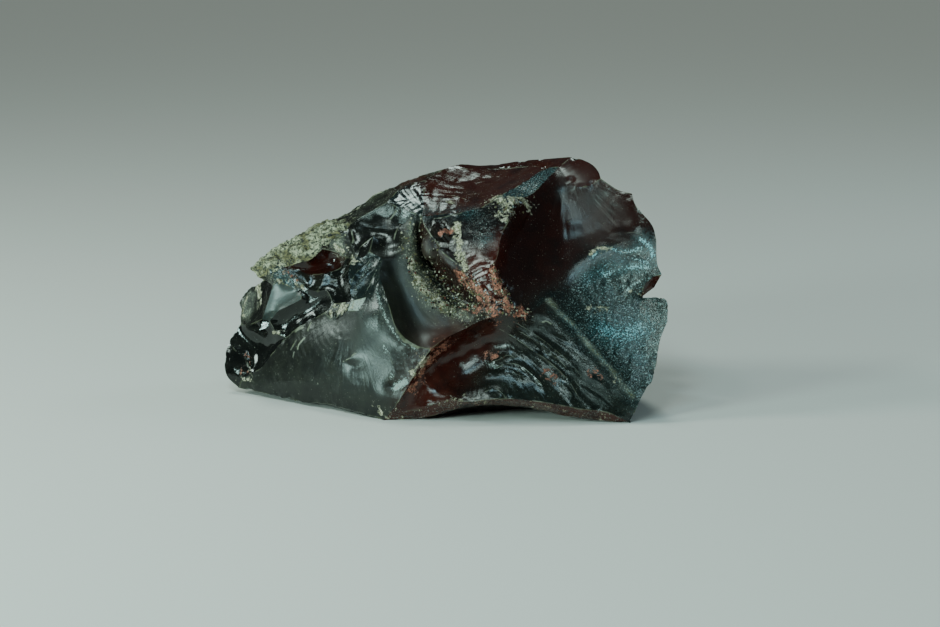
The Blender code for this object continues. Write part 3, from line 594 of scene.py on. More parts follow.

# What lies or shows along listed courses, such as dust, tints and splinters:
# (look, share, radius in mm, course).
# Mahogany and teal drifts are painted reflections; frost drifts paint glints and bright bands.
DRIFTS = (
    ("crumbs", 0.9, 2.2, [
        (-9, -0.5, 39.5), (-8, -2.5, 36.5), (-7, -4.5, 33.5), (-5, -7, 31), (-2, -9.5, 29),
    ]),
    ("crumbs", 1, 2.6, [(-4, -1, 34), (-3, -5, 31.5), (-1.5, -8, 29.5), (1.5, -10, 27.5)]),
    ("crumbs", 0.9, 2.2, [(-0.5, -1.5, 34), (0, -1, 30.5), (2, -7, 28.5)]),
    ("crumbs", 0.9, 2.6, [(3.5, -5, 30), (5, -6.5, 28), (6.5, -10, 27)]),
    ("crumbs", 0.8, 2.4, [(6, -9, 33), (8, -11, 30.5), (7, -9.5, 27.5)]),
    ("dust", 1, 3, [(-8.5, 0, 39.5), (-5.5, -5.5, 32.5), (-1.5, -9.5, 28.5), (4.5, -13, 26)]),
    ("rust", 0.8, 2.6, [
        (4, -6.5, 35.5), (6.5, -9.5, 34), (9, -12.5, 31.5), (12, -15, 29), (13, -16.5, 27),
    ]),
    ("crumbs", 0.8, 2.2, [(5, -8, 35), (7.5, -10.5, 32.5), (10.5, -13.5, 30.5), (12.5, -15, 28.5)]),
    ("rust", 0.7, 2.4, [(6.5, -11.5, 27), (9, -12, 28)]),
    ("rust", 0.9, 1.8, [
        (12.5, -13, 38), (14, -14, 34.5), (16, -14.5, 30.5), (17.5, -15.5, 28), (20.5, -14.5, 27),
    ]),
    ("crumbs", 1, 1.6, [
        (13, -13, 37.5), (14.5, -14, 34), (16, -14.5, 30.5), (18, -15.5, 28), (21, -14.5, 27),
    ]),
    ("cream", 0.9, 1.3, [(3, 1, 48.5), (4, -2, 45), (4, -4.5, 41.5), (5.5, -7.5, 37.5)]),
    ("cream", 0.7, 1.3, [(2.5, 0.5, 47.5), (3, -2, 44.5)]),
    ("rust", 1, 1.2, [(0, 0.5, 45), (2, 0.5, 46.5)]),
    ("cream", 0.8, 2.5, [(13, 5.5, 55), (16, 0, 53.5), (16, -2.5, 51.5)]),
    ("cream", 0.8, 2.5, [(17.5, 1, 55), (20, 3, 55), (22, 4, 53.5)]),
    ("crumbs", 0.5, 2.5, [(13.5, 2, 54.5), (16, -1, 52.5), (19, 1, 54.5)]),
    ("teal", 0.6, 2, [(10.5, -6, 45), (12, -6.5, 46)]),
    ("teal", 0.6, 3, [(-4.5, 8.5, 51), (1, 6.5, 51.5), (6.5, 2.5, 51.5)]),
    ("dust", 0.5, 3, [(-9.5, 6.5, 47), (-10, 1.5, 42.5), (-9.5, -2.5, 38)]),
    ("crumbs", 0.5, 3, [(-9.5, 6, 46.5), (-10.5, 0, 41.5)]),
    ("mahogany", 1, 4, [(8, -8, 39.5), (10.5, -11.5, 37), (12, -13, 33)]),
    ("mahogany", 0.8, 5, [(14.5, -8.5, 44.5), (13.5, -11.5, 40.5)]),
    ("cream", 0.8, 1.2, [(1, 10, 52.5), (1.5, 9.5, 52.5)]),
    ("mahogany", 1, 5, [(-8.5, 21, 57), (-4.5, 19, 56.5), (-0.5, 16.5, 55)]),
    ("cream", 0.6, 1.2, [(-26.5, 21, 48), (-28, 22, 47.5)]),
    ("cream", 0.6, 1, [(-23.5, 22, 50), (-25, 22, 49)]),
    ("cream", 0.7, 1.2, [(-52, 13, 29), (-51, 11, 26), (-51.5, 9.5, 23.5)]),
    ("cream", 0.6, 0.9, [(-54.5, 15, 26.5), (-55.5, 14.5, 23.5), (-56, 13.5, 19.5)]),
    ("dust", 0.8, 3, [(-54, 14, 25), (-55.5, 13, 21)]),
    ("rust", 0.45, 1.2, [(-56.5, 7, 6), (-54.5, 6, 6)]),
    ("cream", 0.7, 1.0, [(-53.5, 6, 7), (-53, 5, 5), (-57.5, 7.5, 4)]),
    ("rust", 0.45, 1, [(-55, 9.5, 11), (-54, 8, 8.5), (-53.5, 6.5, 7.5)]),
    ("cream", 0.9, 1.0, [(-47, 4, 18), (-45.5, 3, 18)]),
    ("rust", 0.45, 1.5, [(-43.5, 4.5, 34.5), (-41.5, 4, 33), (-39, 2.5, 31.5)]),
    ("cream", 0.7, 1.0, [(-40.5, 3, 31.5), (-39, 2.5, 31)]),
    ("teal", 0.8, 2, [(-47, 5.5, 34.5), (-45, 4.5, 33), (-43.5, 4, 32)]),
    ("cream", 0.9, 0.9, [(-45, 5, 32), (-44, 4.5, 32.5)]),
    ("cream", 0.9, 1.2, [(-30.5, 8.5, 41), (-28, 7, 40)]),
    ("dust", 1, 2, [(-29.5, 9.5, 42.5), (-28, 6.5, 40)]),
    ("mahogany", 1, 2.5, [(-35.5, 6, 36), (-33.5, 7.5, 37.5)]),
    ("cream", 0.8, 1, [(-25.5, 2.5, 39.5), (-24.5, 0, 38)]),
    ("frost", 0.8, 4, [(35.5, -7.5, 31.5), (38.5, -5.5, 35), (42, -5, 36.5)]),
    ("teal", 0.5, 6, [(38.5, -6.5, 33), (42.5, -7, 32)]),
    ("teal", 1, 6, [(42.5, -13, 22.5), (46.5, -13.5, 21), (51.5, -14, 22.5)]),
    ("frost", 1, 5, [(42.5, -13, 22.5), (46.5, -13.5, 21), (51.5, -14, 23)]),
    ("teal", 0.7, 3, [(49, -16.5, 17.5), (51.5, -18.5, 15.5)]),
    ("cream", 0.5, 1.2, [(38.5, -9.5, 27.5), (43, -9, 27.5)]),
    ("cream", 0.8, 1.2, [(39, -3.5, 41), (40.5, -2.5, 42), (43.5, -3.5, 42.5)]),
    ("teal", 1, 3, [(52, -5, 45), (54.5, -7.5, 43), (54.5, -10, 40)]),
    ("teal", 0.9, 4, [(38, -5.5, 35.5), (42, -5, 37), (45.5, -5, 38.5)]),
    ("cream", 0.7, 1.2, [(49.5, -8, 31), (52, -8.5, 31.5)]),
    ("cream", 0.6, 2, [(-9.5, -23, 11.5), (-7.5, -22.5, 13.5), (-5.5, -22, 16)]),
    ("rust", 0.7, 2.5, [(-8.5, -22.5, 9.5), (-6, -21, 13.5), (-3.5, -19.5, 16), (0, -18, 19.5)]),
    ("mahogany", 1, 8, [(1.5, -16, 17.5), (-1.5, -18.5, 11.5), (-4, -22, 7)]),
    ("smoke", 1, 5, [(-2.5, -18.5, 12), (-1.5, -19.5, 10.5)]),
    ("cream", 0.5, 1.5, [(44, -22, 12), (45.5, -22, 11)]),
    ("rust", 0.6, 1.5, [(26.5, -20, 12.5), (29, -22, 10.5)]),
    ("rust", 0.5, 1.5, [(38, -21, 13), (40.5, -22, 12)]),
    ("rust", 0.8, 1.5, [(11.5, -14.5, 15.5), (13, -15.5, 15.5)]),
    ("cream", 0.5, 1.5, [(1.5, -24, 6), (6.5, -25.5, 6.5), (12, -23.5, 5)]),
    ("cream", 0.5, 1.2, [(-18.5, -21, 4), (-15.5, -22.5, 1.5), (-13, -23.5, 3.5)]),
    # The dust, frost and teal along this crease paint a pale green highlight on the rib.
    ("dust", 1, 0.9, [
        (27.5, -11, 30), (30.5, -13, 27), (34.5, -14.5, 23), (38, -17, 19), (42, -19.5, 15),
        (46, -22, 10.5), (49, -23.5, 7),
    ]),
    ("frost", 1.05, 0.88, [
        (27.5, -11, 30), (30.5, -13, 27), (34.5, -14.5, 23), (38, -17, 19), (42, -19.5, 15),
        (46, -22, 10.5), (49, -23.5, 7),
    ]),
    ("teal", 0.6, 1.6, [(30.5, -13, 27), (34.5, -14.5, 23), (38, -17, 19), (42, -19.5, 15)]),
    ("frost", 1.5, 0.675, [
        (39.5, -4, 40.5), (41.5, -3, 42), (44.5, -3.5, 42.5), (48, -5, 42), (52, -6, 43),
    ]),
    ("teal", 0.9, 1.5, [
        (39.5, -4, 40.5), (41.5, -3, 42), (44.5, -3.5, 42.5), (48, -5, 42), (52, -6, 43),
    ]),
    ("frost", 1.5, 0.6, [(43, -4.5, 38), (46.5, -5, 39), (50.5, -6.5, 40), (53.5, -9, 39.5)]),
    ("frost", 1.5, 0.75, [
        (42.5, -5.5, 35.5), (45.5, -5.5, 37), (49.5, -7, 38), (53.5, -9.5, 38.5),
    ]),
    ("teal", 0.9, 2.5, [(44, -5.5, 36.5), (49, -6.5, 38), (53.5, -9, 39.5)]),
    ("frost", 1.5, 0.9, [(52, -5, 45.5), (54, -7, 44), (55, -9, 41.5)]),
    ("frost", 1.5, 0.6, [(48.5, -8, 32), (50, -8, 33.5), (52, -9.5, 35)]),
    ("smoke", 1, 3, [(-4.5, 3.5, 42.5), (-3.5, 2, 39.5)]),
    ("matte", 0.5, 3, [(-4.5, 3.5, 42.5), (-3.5, 2, 39.5)]),
    ("matte", 0.4, 3, [(-0.5, -1.5, 41), (4, -6.5, 37)]),
    # A painted highlight on the mirror chip.
    ("frost", 2, 1.4, [(-13, -22.5, 9), (-10.5, -23, 10.5)]),
    ("frost", 0.6, 6, [(7, 2, 51.5), (9.5, -2, 48.5), (10.5, -6, 45)]),
    ("teal", 0.15, 6, [(8, 1, 51), (11, -4.5, 47)]),
    ("cream", 0.75, 1.8, [(-7, -4.5, 33.5), (-4.5, -6.5, 31.5), (-2, -8.5, 29), (1, -10, 27.5)]),
    ("cream", 0.6, 1.4, [(-9, -1.5, 38.5), (-8, -3.5, 35.5), (-6, -5.5, 32.5)]),
    ("dust", 1, 1.6, [(-9.5, 6, 46.5), (-9, 2.5, 43), (-8.5, 0.5, 39.5), (-7.5, -2, 37)]),
    # These two drifts paint glints along the crests of the bright flow.
    ("frost", 1.3, 0.8, [
        (-18, -8.5, 32.5), (-17, -12.5, 29.5), (-15.5, -16, 26), (-13.5, -18, 23),
        (-10.5, -19, 20), (-8, -20, 19),
    ]),
    ("frost", 1.2, 0.8, [
        (-16, -17.5, 19), (-14.5, -19, 16.5), (-13.5, -20, 14), (-14, -21.5, 11.5),
    ]),
    ("frost", 1.1, 0.9, [(11, -15.5, 14), (13.5, -17.5, 13), (16.5, -18, 13)]),
    ("frost", 1.1, 0.9, [(26.5, -18, 16), (29, -19, 14.5), (32.5, -20.5, 12)]),
    ("frost", 1, 0.7, [(-20, -1.5, 38), (-22, -3, 35), (-23.5, -5, 32)]),
    ("matte", 0.4, 9, [(36, 12, 59), (38, 8.5, 55), (39.5, 6, 51), (40, 3.5, 47.5)]),
)

# Folds and chips, each with how its outline is sampled.
MARK_KINDS = (("fold", FOLDS, {}), ("chip", CHIPS, dict(closed=True, straight=True)))

# How each scar is finished.  Heights are in mm and the rest are shares from 0 to 1.
#   strike: where the blow fell that made the scar; ripples ring it and hackles leave it
#   ripple, hackle, chatter: how high the even rings, the lines leaving the blow and the
#   broken waves across them stand; pitch: mm between ripples
#   dust, cream, rust, crumbs, rind: how much thin dust, pale powder, iron-stained powder,
#   crumbled glass or weathered rind covers the scar
#   smoke: how much of the grey-green cloud tint the glass shows there
#   mahogany, teal: how much painted red reflection and painted blue-green sheen it shows
#   frost: how much of the scar is finely broken, with a real bump and pale specks painted as
#   glints; matte: how much of it is worn dull
LOOKS = {
    "left_wall": dict(matte=0.1, frost=0.2, dust=0.05, smoke=0.2, hackle=0.3, chatter=0.1),
    "cortex_under": dict(dust=0.6, cream=0.3, chatter=0.5),
    "sparkle": dict(frost=0.8, dust=0.2, cream=0.3, teal=0.5, crumbs=0.4, hackle=0.4),
    "blue_chip": dict(dust=0.05, teal=0.4, smoke=0.9, matte=0.3, ripple=0.0, hackle=0.02),
    "brown_chip": dict(matte=0.2, frost=0.2, smoke=0.6, rust=0.1, chatter=0.15, hackle=0.2),
    "cavity": dict(mahogany=0.4, hackle=0.25, chatter=0.1),
    "grey_chip": dict(smoke=0.4, hackle=0.1),
    "step_wall": dict(hackle=0.2, strike=(-26, -3, 44)),
    "dark_band": dict(hackle=0.05, strike=(-30, -8, 34)),
    "cream_chip": dict(frost=0.3, cream=0.5, dust=0.2, hackle=0.1),
    "dark_scoop": dict(ripple=0.04, hackle=0.06),
    "heel": dict(frost=0.05, hackle=0.15, chatter=0.1),
    "grey_face": dict(
        smoke=0.45, matte=0.27, ripple=0.012, hackle=0.08, chatter=0.06, strike=(-24, -8, 27),
        pitch=1.7,
    ),
    # The pale splinter specks and cream here are a painted highlight on this chip.
    "white_chip": dict(frost=1.6, cream=0.3, ripple=0.0, hackle=0.04),
    "hackle": dict(hackle=0.18, teal=0.2, matte=0.1, strike=(-21, -2, 46)),
    "black_sliver": dict(hackle=0.1),
    "upper_scar": dict(ripple=0.06, hackle=0.15, matte=0.1, strike=(-16, 12, 52)),
    "crumbly_chip": dict(dust=0.15, matte=0.3, cream=0.05, crumbs=0.3, smoke=0.4, chatter=0.4),
    "cortex": dict(rind=1.0),
    "top_strip": dict(dust=0.3, smoke=0.6, hackle=0.5, chatter=0.3, strike=(-60, 20, 30)),
    "bright_chip": dict(teal=0.3, hackle=0.15, chatter=0.2),
    "top_face": dict(
        mahogany=0.7, dust=0.1, ripple=0.06, hackle=0.16, frost=0.25, strike=(40, 4, 60),
        pitch=3.5,
    ),
    "back_bevel": dict(mahogany=0.6, hackle=0.3),
    "blue_strip": dict(teal=0.6, matte=0.1, hackle=0.3, frost=0.7, strike=(31, 18, 62)),
    "pillar": dict(
        dust=0.0, hackle=0.1, chatter=0.14, mahogany=0.1, frost=0.3,
        strike=(10, 3, 56),
    ),
    "peak": dict(mahogany=0.55, hackle=0.05, ripple=0.02, dust=0.0),
    "great_scar": dict(
        mahogany=0.35, dust=0.0, hackle=0.25, ripple=0.04, frost=0.1, pitch=6.0,
        strike=(33, 10, 66),
    ),
    "blue_scar": dict(
        teal=0.35, smoke=0.4, dust=0.03, hackle=0.25, chatter=0.25, frost=0.75, matte=0.15,
        strike=(20, -10, 30),
    ),
    "notch": dict(mahogany=1.0, hackle=0.3),
    "flow_face": dict(
        smoke=0.5, dust=0.02, teal=0.1, hackle=0.4, frost=0.3, matte=0.1, strike=(4, -10, 33),
    ),
    "sole_edge": dict(frost=0.6, mahogany=0.9, dust=0.2, cream=0.15, hackle=0.4, chatter=0.4),
    "red_hollow": dict(mahogany=0.9, ripple=0.08, hackle=0.2, strike=(-13, -23, 4)),
    "bright_flow": dict(
        hackle=0.3, chatter=0.2, ripple=0.04, pitch=1.6, smoke=1.0, teal=0.15, matte=0.28,
        frost=0.5, strike=(-17, -6, 42),
    ),
    "bowl": dict(
        smoke=0.9, dust=0.02, matte=0.45, ripple=0.03, hackle=0.04, strike=(-14, -2, 40),
        pitch=7.0,
    ),
    "dust_slope": dict(frost=0.5, dust=0.25, crumbs=0.3, smoke=0.6, cream=0.15, chatter=0.5),
    "chip_slope": dict(frost=0.4, dust=0.1, crumbs=0.2, mahogany=0.3, cream=0.1),
    "back_left": dict(rind=0.8, dust=0.5),
    "back_top_left": dict(rind=1.0, dust=0.5),
    "back_mid": dict(rind=0.6, dust=0.5),
    "back_mid2": dict(hackle=0.4, ripple=0.3, dust=0.1, strike=(6, 36, 46), pitch=5.0),
    "back_right": dict(hackle=0.4, ripple=0.25, dust=0.1, strike=(40, 26, 44)),
    "back_right2": dict(hackle=0.4, dust=0.1, strike=(46, 14, 42)),
    "back_peak": dict(hackle=0.5, ripple=0.2, dust=0.2, strike=(35, 21, 63)),
    "back_top": dict(dust=0.3, ripple=0.2, smoke=0.4, chatter=0.2, strike=(0, 30, 59)),
    "back_low": dict(ripple=0.3, hackle=0.2, dust=0.2, strike=(-5, 34, 17)),
    "back_right_low": dict(ripple=0.25, hackle=0.2, dust=0.2, strike=(28, 26, 20)),
    "back_left_low": dict(dust=0.5, smoke=0.5, chatter=0.2),
    "back_edge": dict(hackle=0.5, teal=0.4, dust=0.1, strike=(46, 12, 44)),
    "back_notch": dict(hackle=0.5, teal=0.3, dust=0.1, strike=(51, 0, 32)),
    "back_blade": dict(hackle=0.5, teal=0.3, dust=0.1, strike=(50, 0, 24)),
}

# Ridges that are worn or shallow enough to have no sharp line, with how far they blend (mm).
SOFT_RIDGES = {
    ("front_foot_left", "white_low"): 3.5,
    ("white_top", "flow_neck"): 2.0,
    ("scar_low", "right_foot"): 1.2,
    ("scar_low", "rim_high"): 2.5,
    ("scar_left", "scar_low"): 3.0,
    ("bowl_left", "bowl_right"): 2.5,
    ("hub", "bowl_right"): 1.5,
    ("bowl_right", "ridge_mid"): 1.2,
    ("crumb_bed", "saddle"): 1.0,
    ("crust_end", "strip_end"): 1.5,
    ("crust_corner", "lip_right"): 1.0,
    ("lip", "lip_left"): 0.8,
    ("saddle", "hollow_foot"): 1.5,
    ("back_left_low", "back_left_high"): 3.0,
    ("back_left_high", "back_high"): 3.0,
    ("base_left", "heel_foot"): 1.5,
}

# Ridges with a line of pale crushed glass along them, with how strong the line is.
PALE_RIDGES = {
    ("mirror_left", "hub"): 0.5,
    ("sliver_low", "sliver_tip"): 0.8,
    ("sliver_tip", "sliver_right"): 0.9,
    ("hub", "crumb_shelf"): 0.7,
    ("hollow_foot", "right_foot"): 0.7,
    ("ridge_low", "ridge_foot"): 0.8,
    ("ridge_low", "flow_neck"): 0.7,
    ("ridge_low", "ridge_mid"): 0.2,
    ("heel_foot", "front_foot_left"): 0.5,
    ("face_shoulder", "face_top"): 0.6,
    ("band_left", "face_shoulder"): 0.5,
    ("brow_left", "crust_end"): 0.8,
    ("strip_end", "mirror_left"): 0.6,
    ("hollow_end", "lip_right"): 0.7,
    ("grey_low", "cream_left"): 0.5,
    ("cream_top", "white_top"): 0.6,
    ("blue_foot_right", "scar_left"): 0.4,
}


# ------------------------------------------------------------------ directions, points, noise


def heading(azimuth, elevation):
    """The direction from the stone towards an azimuth and elevation in degrees."""
    turn, rise = math.radians(azimuth), math.radians(elevation)
    return Vector((math.sin(turn) * math.cos(rise), -math.cos(turn) * math.cos(rise),
                   math.sin(rise)))


def noise_at(points, size, octaves=2):
    """Smooth noise from about -1 to 1 at each point, with features about a size across."""
    return np.array([noise.fractal(Vector(p) / size, 1.0, 2.0, octaves) for p in points])


def crests_at(places, octaves):
    """Narrow crests between rounded troughs, about one unit apart, from about -1 to 0.35."""
    return 0.35 - np.abs(noise_at(places, 1.0, octaves)) * 1.6


def smooth_step(values, low, high):
    """0 below low, 1 above high, with a smooth rise between them."""
    t = np.clip((values - low) / (high - low), 0.0, 1.0)
    return t * t * (3 - 2 * t)


def curve_through(points, spacing):
    """Points about a spacing apart on a Catmull-Rom curve, strictly between its ends."""
    padded = [2 * points[0] - points[1], *points, 2 * points[-1] - points[-2]]
    samples = []
    for before, start, end, after in zip(padded, padded[1:], padded[2:], padded[3:]):
        steps = max(1, round((end - start).length / spacing))
        for step in range(steps):
            t = step / steps
            bend = (2 * before - 5 * start + 4 * end - after) * t * t
            twist = (3 * start - before - 3 * end + after) * t ** 3
            samples.append(start + 0.5 * ((end - before) * t + bend + twist))
    return samples[1:]


# ------------------------------------------------------------------ ridges and patches


class Cage:
    """The points of every ridge, each made once and shared by the scars on both sides."""

    def __init__(self, spacing):
        self.spacing = spacing
        self.points = [Vector(place) for place in CORNERS.values()]
        self.corner_index = {name: index for index, name in enumerate(CORNERS)}
        self.ridges = {}

    def ridge(self, start, end):
        """Indices of the points strictly between two corners, in order."""
        if (end, start) in self.ridges:
            return self.ridges[end, start][::-1]
        if (start, end) not in self.ridges:
            key = (start, end) if (start, end) in BENDS else (end, start)
            bends = [Vector(place) for place in BENDS.get(key, [])]
            course = [Vector(CORNERS[key[0]]), *bends, Vector(CORNERS[key[1]])]
            first = len(self.points)
            self.points += curve_through(course, self.spacing)
            self.ridges[key] = list(range(first, len(self.points)))
            return self.ridge(start, end)
        return self.ridges[start, end]

    def whole_ridge(self, start, end):
        """Indices of a ridge's points with both of its corners."""
        return [self.corner_index[start], *self.ridge(start, end), self.corner_index[end]]

    def rim(self, corner_names):
        """Indices of all points around one scar."""
        loop = []
        for start, end in zip(corner_names, corner_names[1:] + corner_names[:1]):
            loop.append(self.corner_index[start])
            loop += self.ridge(start, end)
        return loop


def facet_axes(rim):
    """Centre of a rim and its plane's two axes and normal, by Newell's method."""
    centre = rim.mean(axis=0)
    normal = np.cross(rim - centre, np.roll(rim, -1, axis=0) - centre).sum(axis=0)
    normal /= np.linalg.norm(normal)
    across = np.cross((0.0, 0.0, 1.0) if abs(normal[2]) < 0.9 else (0.0, 1.0, 0.0), normal)
    across /= np.linalg.norm(across)
    return centre, np.stack([across, np.cross(normal, across), normal], axis=1)


def clearance(spots, outline):
    """Whether each flat spot lies inside an outline, and how far it is from the outline."""
    start = outline[None]
    along = np.roll(outline, -1, axis=0)[None] - start
    length = np.maximum((along ** 2).sum(2), 1e-12)
    rise = np.where(along[..., 1] == 0, 1e-9, along[..., 1])
    insides, gaps = [np.empty(0, bool)], [np.empty(0)]
    for some in np.array_split(spots[:, None, :], len(spots) // 2000 + 1):
        t = np.clip(((some - start) * along).sum(2) / length, 0, 1)
        gaps.append(np.linalg.norm(some - start - along * t[..., None], axis=2).min(axis=1))
        straddles = (start[..., 1] > some[..., 1]) != (start[..., 1] + along[..., 1] > some[..., 1])
        crossing = start[..., 0] + (some[..., 1] - start[..., 1]) * along[..., 0] / rise
        insides.append((straddles & (some[..., 0] < crossing)).sum(axis=1) % 2 == 1)
    return np.concatenate(insides), np.concatenate(gaps)


def search_tree(targets):
    """A tree that finds the points near a place, for points that are flat or in space."""
    tree = KDTree(len(targets))
    for index, target in enumerate(targets):
        tree.insert(Vector((*target, 0.0)[:3]), index)
    tree.balance()
    return tree


def nearest_gap(spots, targets):
    """How far each point is from the nearest target, and which target that is."""
    tree = search_tree(targets)
    found = [tree.find(Vector((*spot, 0.0)[:3])) for spot in spots]
    return np.array([hit[2] for hit in found]), np.array([hit[1] for hit in found], int)


def neighbours(triangles):
    """Each pair of points that share a triangle's side, once."""
    pairs = np.vstack([triangles[:, [0, 1]], triangles[:, [1, 2]], triangles[:, [2, 0]]])
    return np.unique(np.sort(pairs, axis=1), axis=0)


def lattice_over(outline, spacing):
    """A triangular lattice over the box of a flat outline."""
    low, high = outline.min(axis=0), outline.max(axis=0)
    row_height = spacing * 0.75 ** 0.5
    rows = [np.empty((0, 2))]
    for row, y in enumerate(np.arange(low[1] + row_height / 2, high[1], row_height)):
        xs = np.arange(low[0] + spacing * (0.25 + 0.5 * (row % 2)), high[0], spacing)
        rows.append(np.column_stack([xs, np.full(len(xs), y)]))
    return np.vstack(rows)


def sampled(course, spacing, closed=False, straight=False):
    """Points about a spacing apart along a course of listed points."""
    stops = [Vector(stop) for stop in course]
    if closed:
        stops.append(stops[0])
    if not straight:
        inner = curve_through(stops, spacing)
        return [stops[0], *inner] if closed else [stops[0], *inner, stops[-1]]
    points = []
    for start, end in zip(stops, stops[1:]):
        points += [start, *curve_through([start, end], spacing)]
    return points


def settle(values, fixed, pairs, load=0.0, leak=0.0):
    """Conjugate gradients: each free value becomes its neighbours' mean plus the load.

    A leak draws the free values back to zero, so what is fixed only bends its surroundings.
    """
    count = len(values)
    first, second = pairs.T
    degree = np.bincount(pairs.ravel(), minlength=count).astype(float)
    weight = degree * (1.0 + leak)
    free = ~fixed

    def pull(x):
        others = np.bincount(first, x[second], count) + np.bincount(second, x[first], count)
        return weight * x - others

    settled = values.copy()
    residual = np.where(free, load * degree - pull(settled), 0.0)
    direction = residual / weight
    energy = (residual * direction).sum()
    target = 1e-12 * count
    while energy > target:
        pulled = np.where(free, pull(direction), 0.0)
        step = energy / (direction * pulled).sum()
        settled += step * direction
        residual -= step * pulled
        eased = residual / weight
        new_energy = (residual * eased).sum()
        direction = eased + new_energy / energy * direction
        energy = new_energy
    return settled


class Patch:
    """One scar: points in its own flat axes (rim first), with heights and triangles."""

    def __init__(self, name, cage):
        depth, corner_names = FACETS[name]
        self.name = name
        self.look = {**PLAIN_LOOK, **LOOKS.get(name, {})}
        self.corner_names = corner_names.split()
        self.spacing = cage.spacing
        self.loop = cage.rim(self.corner_names)
        rim = np.array([cage.points[index] for index in self.loop])
        self.centre, self.axes = facet_axes(rim)
        flat_rim = (rim - self.centre) @ self.axes
        self.rim_count = len(rim)
        self.spots = flat_rim[:, :2]
        self.gap = np.zeros(len(rim))
        self.marks = [
            (kind, mark, self.place_spots(self.flatten(sampled(mark[-1], cage.spacing, **how))))
            for kind, marks, how in MARK_KINDS for mark in marks.values() if name in mark[0].split()
        ]
        self.place_spots(lattice_over(flat_rim[:, :2], cage.spacing))
        self.triangles = self.join_spots()
        self.pairs = neighbours(self.triangles)
        fixed = np.arange(len(self.spots)) < self.rim_count
        height = np.full(len(self.spots), flat_rim[:, 2].mean())
        height[:self.rim_count] = flat_rim[:, 2]
        self.height = settle(height, fixed, self.pairs)
        if not fixed.all():
            dish = settle(np.zeros(len(self.spots)), fixed, self.pairs, load=1.0)
            self.height += depth * dish / dish.max()
        self.keep_plain = np.zeros(len(self.spots), bool)
        if self.marks:
            self.apply_marks(fixed)

    def flatten(self, points):
        """Points of the cage's coordinates, in this patch's own axes."""
        return ((np.array(points) - self.centre) @ self.axes)[:, :2]

    def place_spots(self, wanted):
        """Add the wanted spots that lie inside and clear of the others; give each one's index."""
        inside, gap = clearance(wanted, self.spots[:self.rim_count])
        inside &= gap > RIM_CLEARANCE * self.spacing
        others = self.spots[self.rim_count:]
        if len(others):
            inside &= nearest_gap(wanted, others)[0] > RIM_CLEARANCE * self.spacing
        index = np.where(inside, len(self.spots) + np.cumsum(inside) - 1, -1)
        self.spots = np.vstack([self.spots, wanted[inside]])
        self.gap = np.concatenate([self.gap, gap[inside]])
        return index

    def apply_marks(self, fixed):
        """Bend the surface to its folds and chips."""
        offset = np.zeros(len(self.spots))
        anchors, anchor_reach = [], []
        for kind, mark, index in self.marks:
            placed = index[index >= 0]
            if len(placed) == 0:
                continue
            if kind == "fold":
                t = np.flatnonzero(index >= 0) / (len(index) - 1)
                offset[placed] = mark[1] * np.clip(4 * np.minimum(t, 1 - t), 0.0, 1.0)
                anchor_reach += [mark[2]] * len(placed)
            else:
                inside = clearance(self.spots, self.flatten(mark[-1]))[0]
                inside[placed] = True
                placed = np.flatnonzero(inside & ~fixed)
                normal = np.array(mark[1]) @ self.axes
                middle = (np.mean(mark[-1], axis=0) - self.centre) @ self.axes
                slope = (self.spots[placed] - middle[:2]) @ normal[:2] / normal[2]
                offset[placed] = middle[2] - mark[2] - slope - self.height[placed]
                self.keep_plain[placed] = True
                anchor_reach += [EDGE_REACH] * len(placed)
            fixed[placed] = True
            anchors += self.spots[placed].tolist()
        nearest = nearest_gap(self.spots, anchors)[1]
        reach = np.array(anchor_reach)[nearest]
        leak = (self.spacing / reach) ** 2 / 4
        self.height += settle(offset, fixed, self.pairs, leak=leak)

    def pale_lines(self):
        """Indices of the spots on folds that hold pale dust, each with the dust's share."""
        return [
            (spot, mark[3]) for kind, mark, index in self.marks if kind == "fold" and mark[3]
            for spot in index[index >= 0]
        ]

    def join_spots(self):
        """Triangles between the spots."""
        rim_face = [list(range(self.rim_count))]
        made = delaunay_2d_cdt([Vector(spot) for spot in self.spots], [], rim_face, 1, 1e-5)
        if len(made[0]) != len(self.spots):
            raise ValueError(f"the rim of {self.name} crosses itself")
        source = np.array([origins[0] for origins in made[3]])
        return source[np.array(made[2])]

    def places(self):
        """Where the spots are in the cage's coordinates."""
        return np.column_stack([self.spots, self.height]) @ self.axes.T + self.centre

    def fan(self):
        """Direction from the blow (as cosine and sine) and distance from it, for each spot."""
        strike = (np.array(self.look["strike"]) - self.centre) @ self.axes
        away = self.spots - strike[:2]
        distance = np.linalg.norm(away, axis=1)
        bearing = away / np.maximum(distance, 1e-6)[:, None]
        return np.column_stack([bearing, distance])

    def add_break_lines(self):
        """Ripples ringing the blow, hackles leaving it, broken waves and a slow unevenness."""
        look = self.look
        fan = self.fan()
        reach = max(SHORTEST_REACH, np.median(fan[:, 2]))
        bearing, distance = fan[:, :2] * reach, fan[:, 2]
        places = self.places()
        slow = noise_at(places, SWELL_SIZE)
        along = np.column_stack([bearing / HACKLE_WIDTH, distance / HACKLE_RUN])
        across = np.column_stack([bearing / WAVE_RUN, distance / WAVE_WIDTH + slow])
        hackles = crests_at(along, octaves=1)
        waves = crests_at(across, octaves=2)
        rings = np.sin(2 * math.pi * distance / look["pitch"] + RIPPLE_WANDER * slow)
        clear = smooth_step(self.gap, 0.0, RELIEF_FADE) * ~self.keep_plain
        hackles *= smooth_step(distance, 0.1 * reach, 0.7 * reach)
        patchy = np.clip(0.6 + 1.3 * noise_at(places, PATCH_SIZE), 0.1, 1.2)
        relief = look["ripple"] * rings + patchy * look["hackle"] * hackles
        relief += (1.3 - patchy) * look["chatter"] * waves
        self.height += clear * (relief + UNEVENNESS * slow)


# ------------------------------------------------------------------ the whole skin


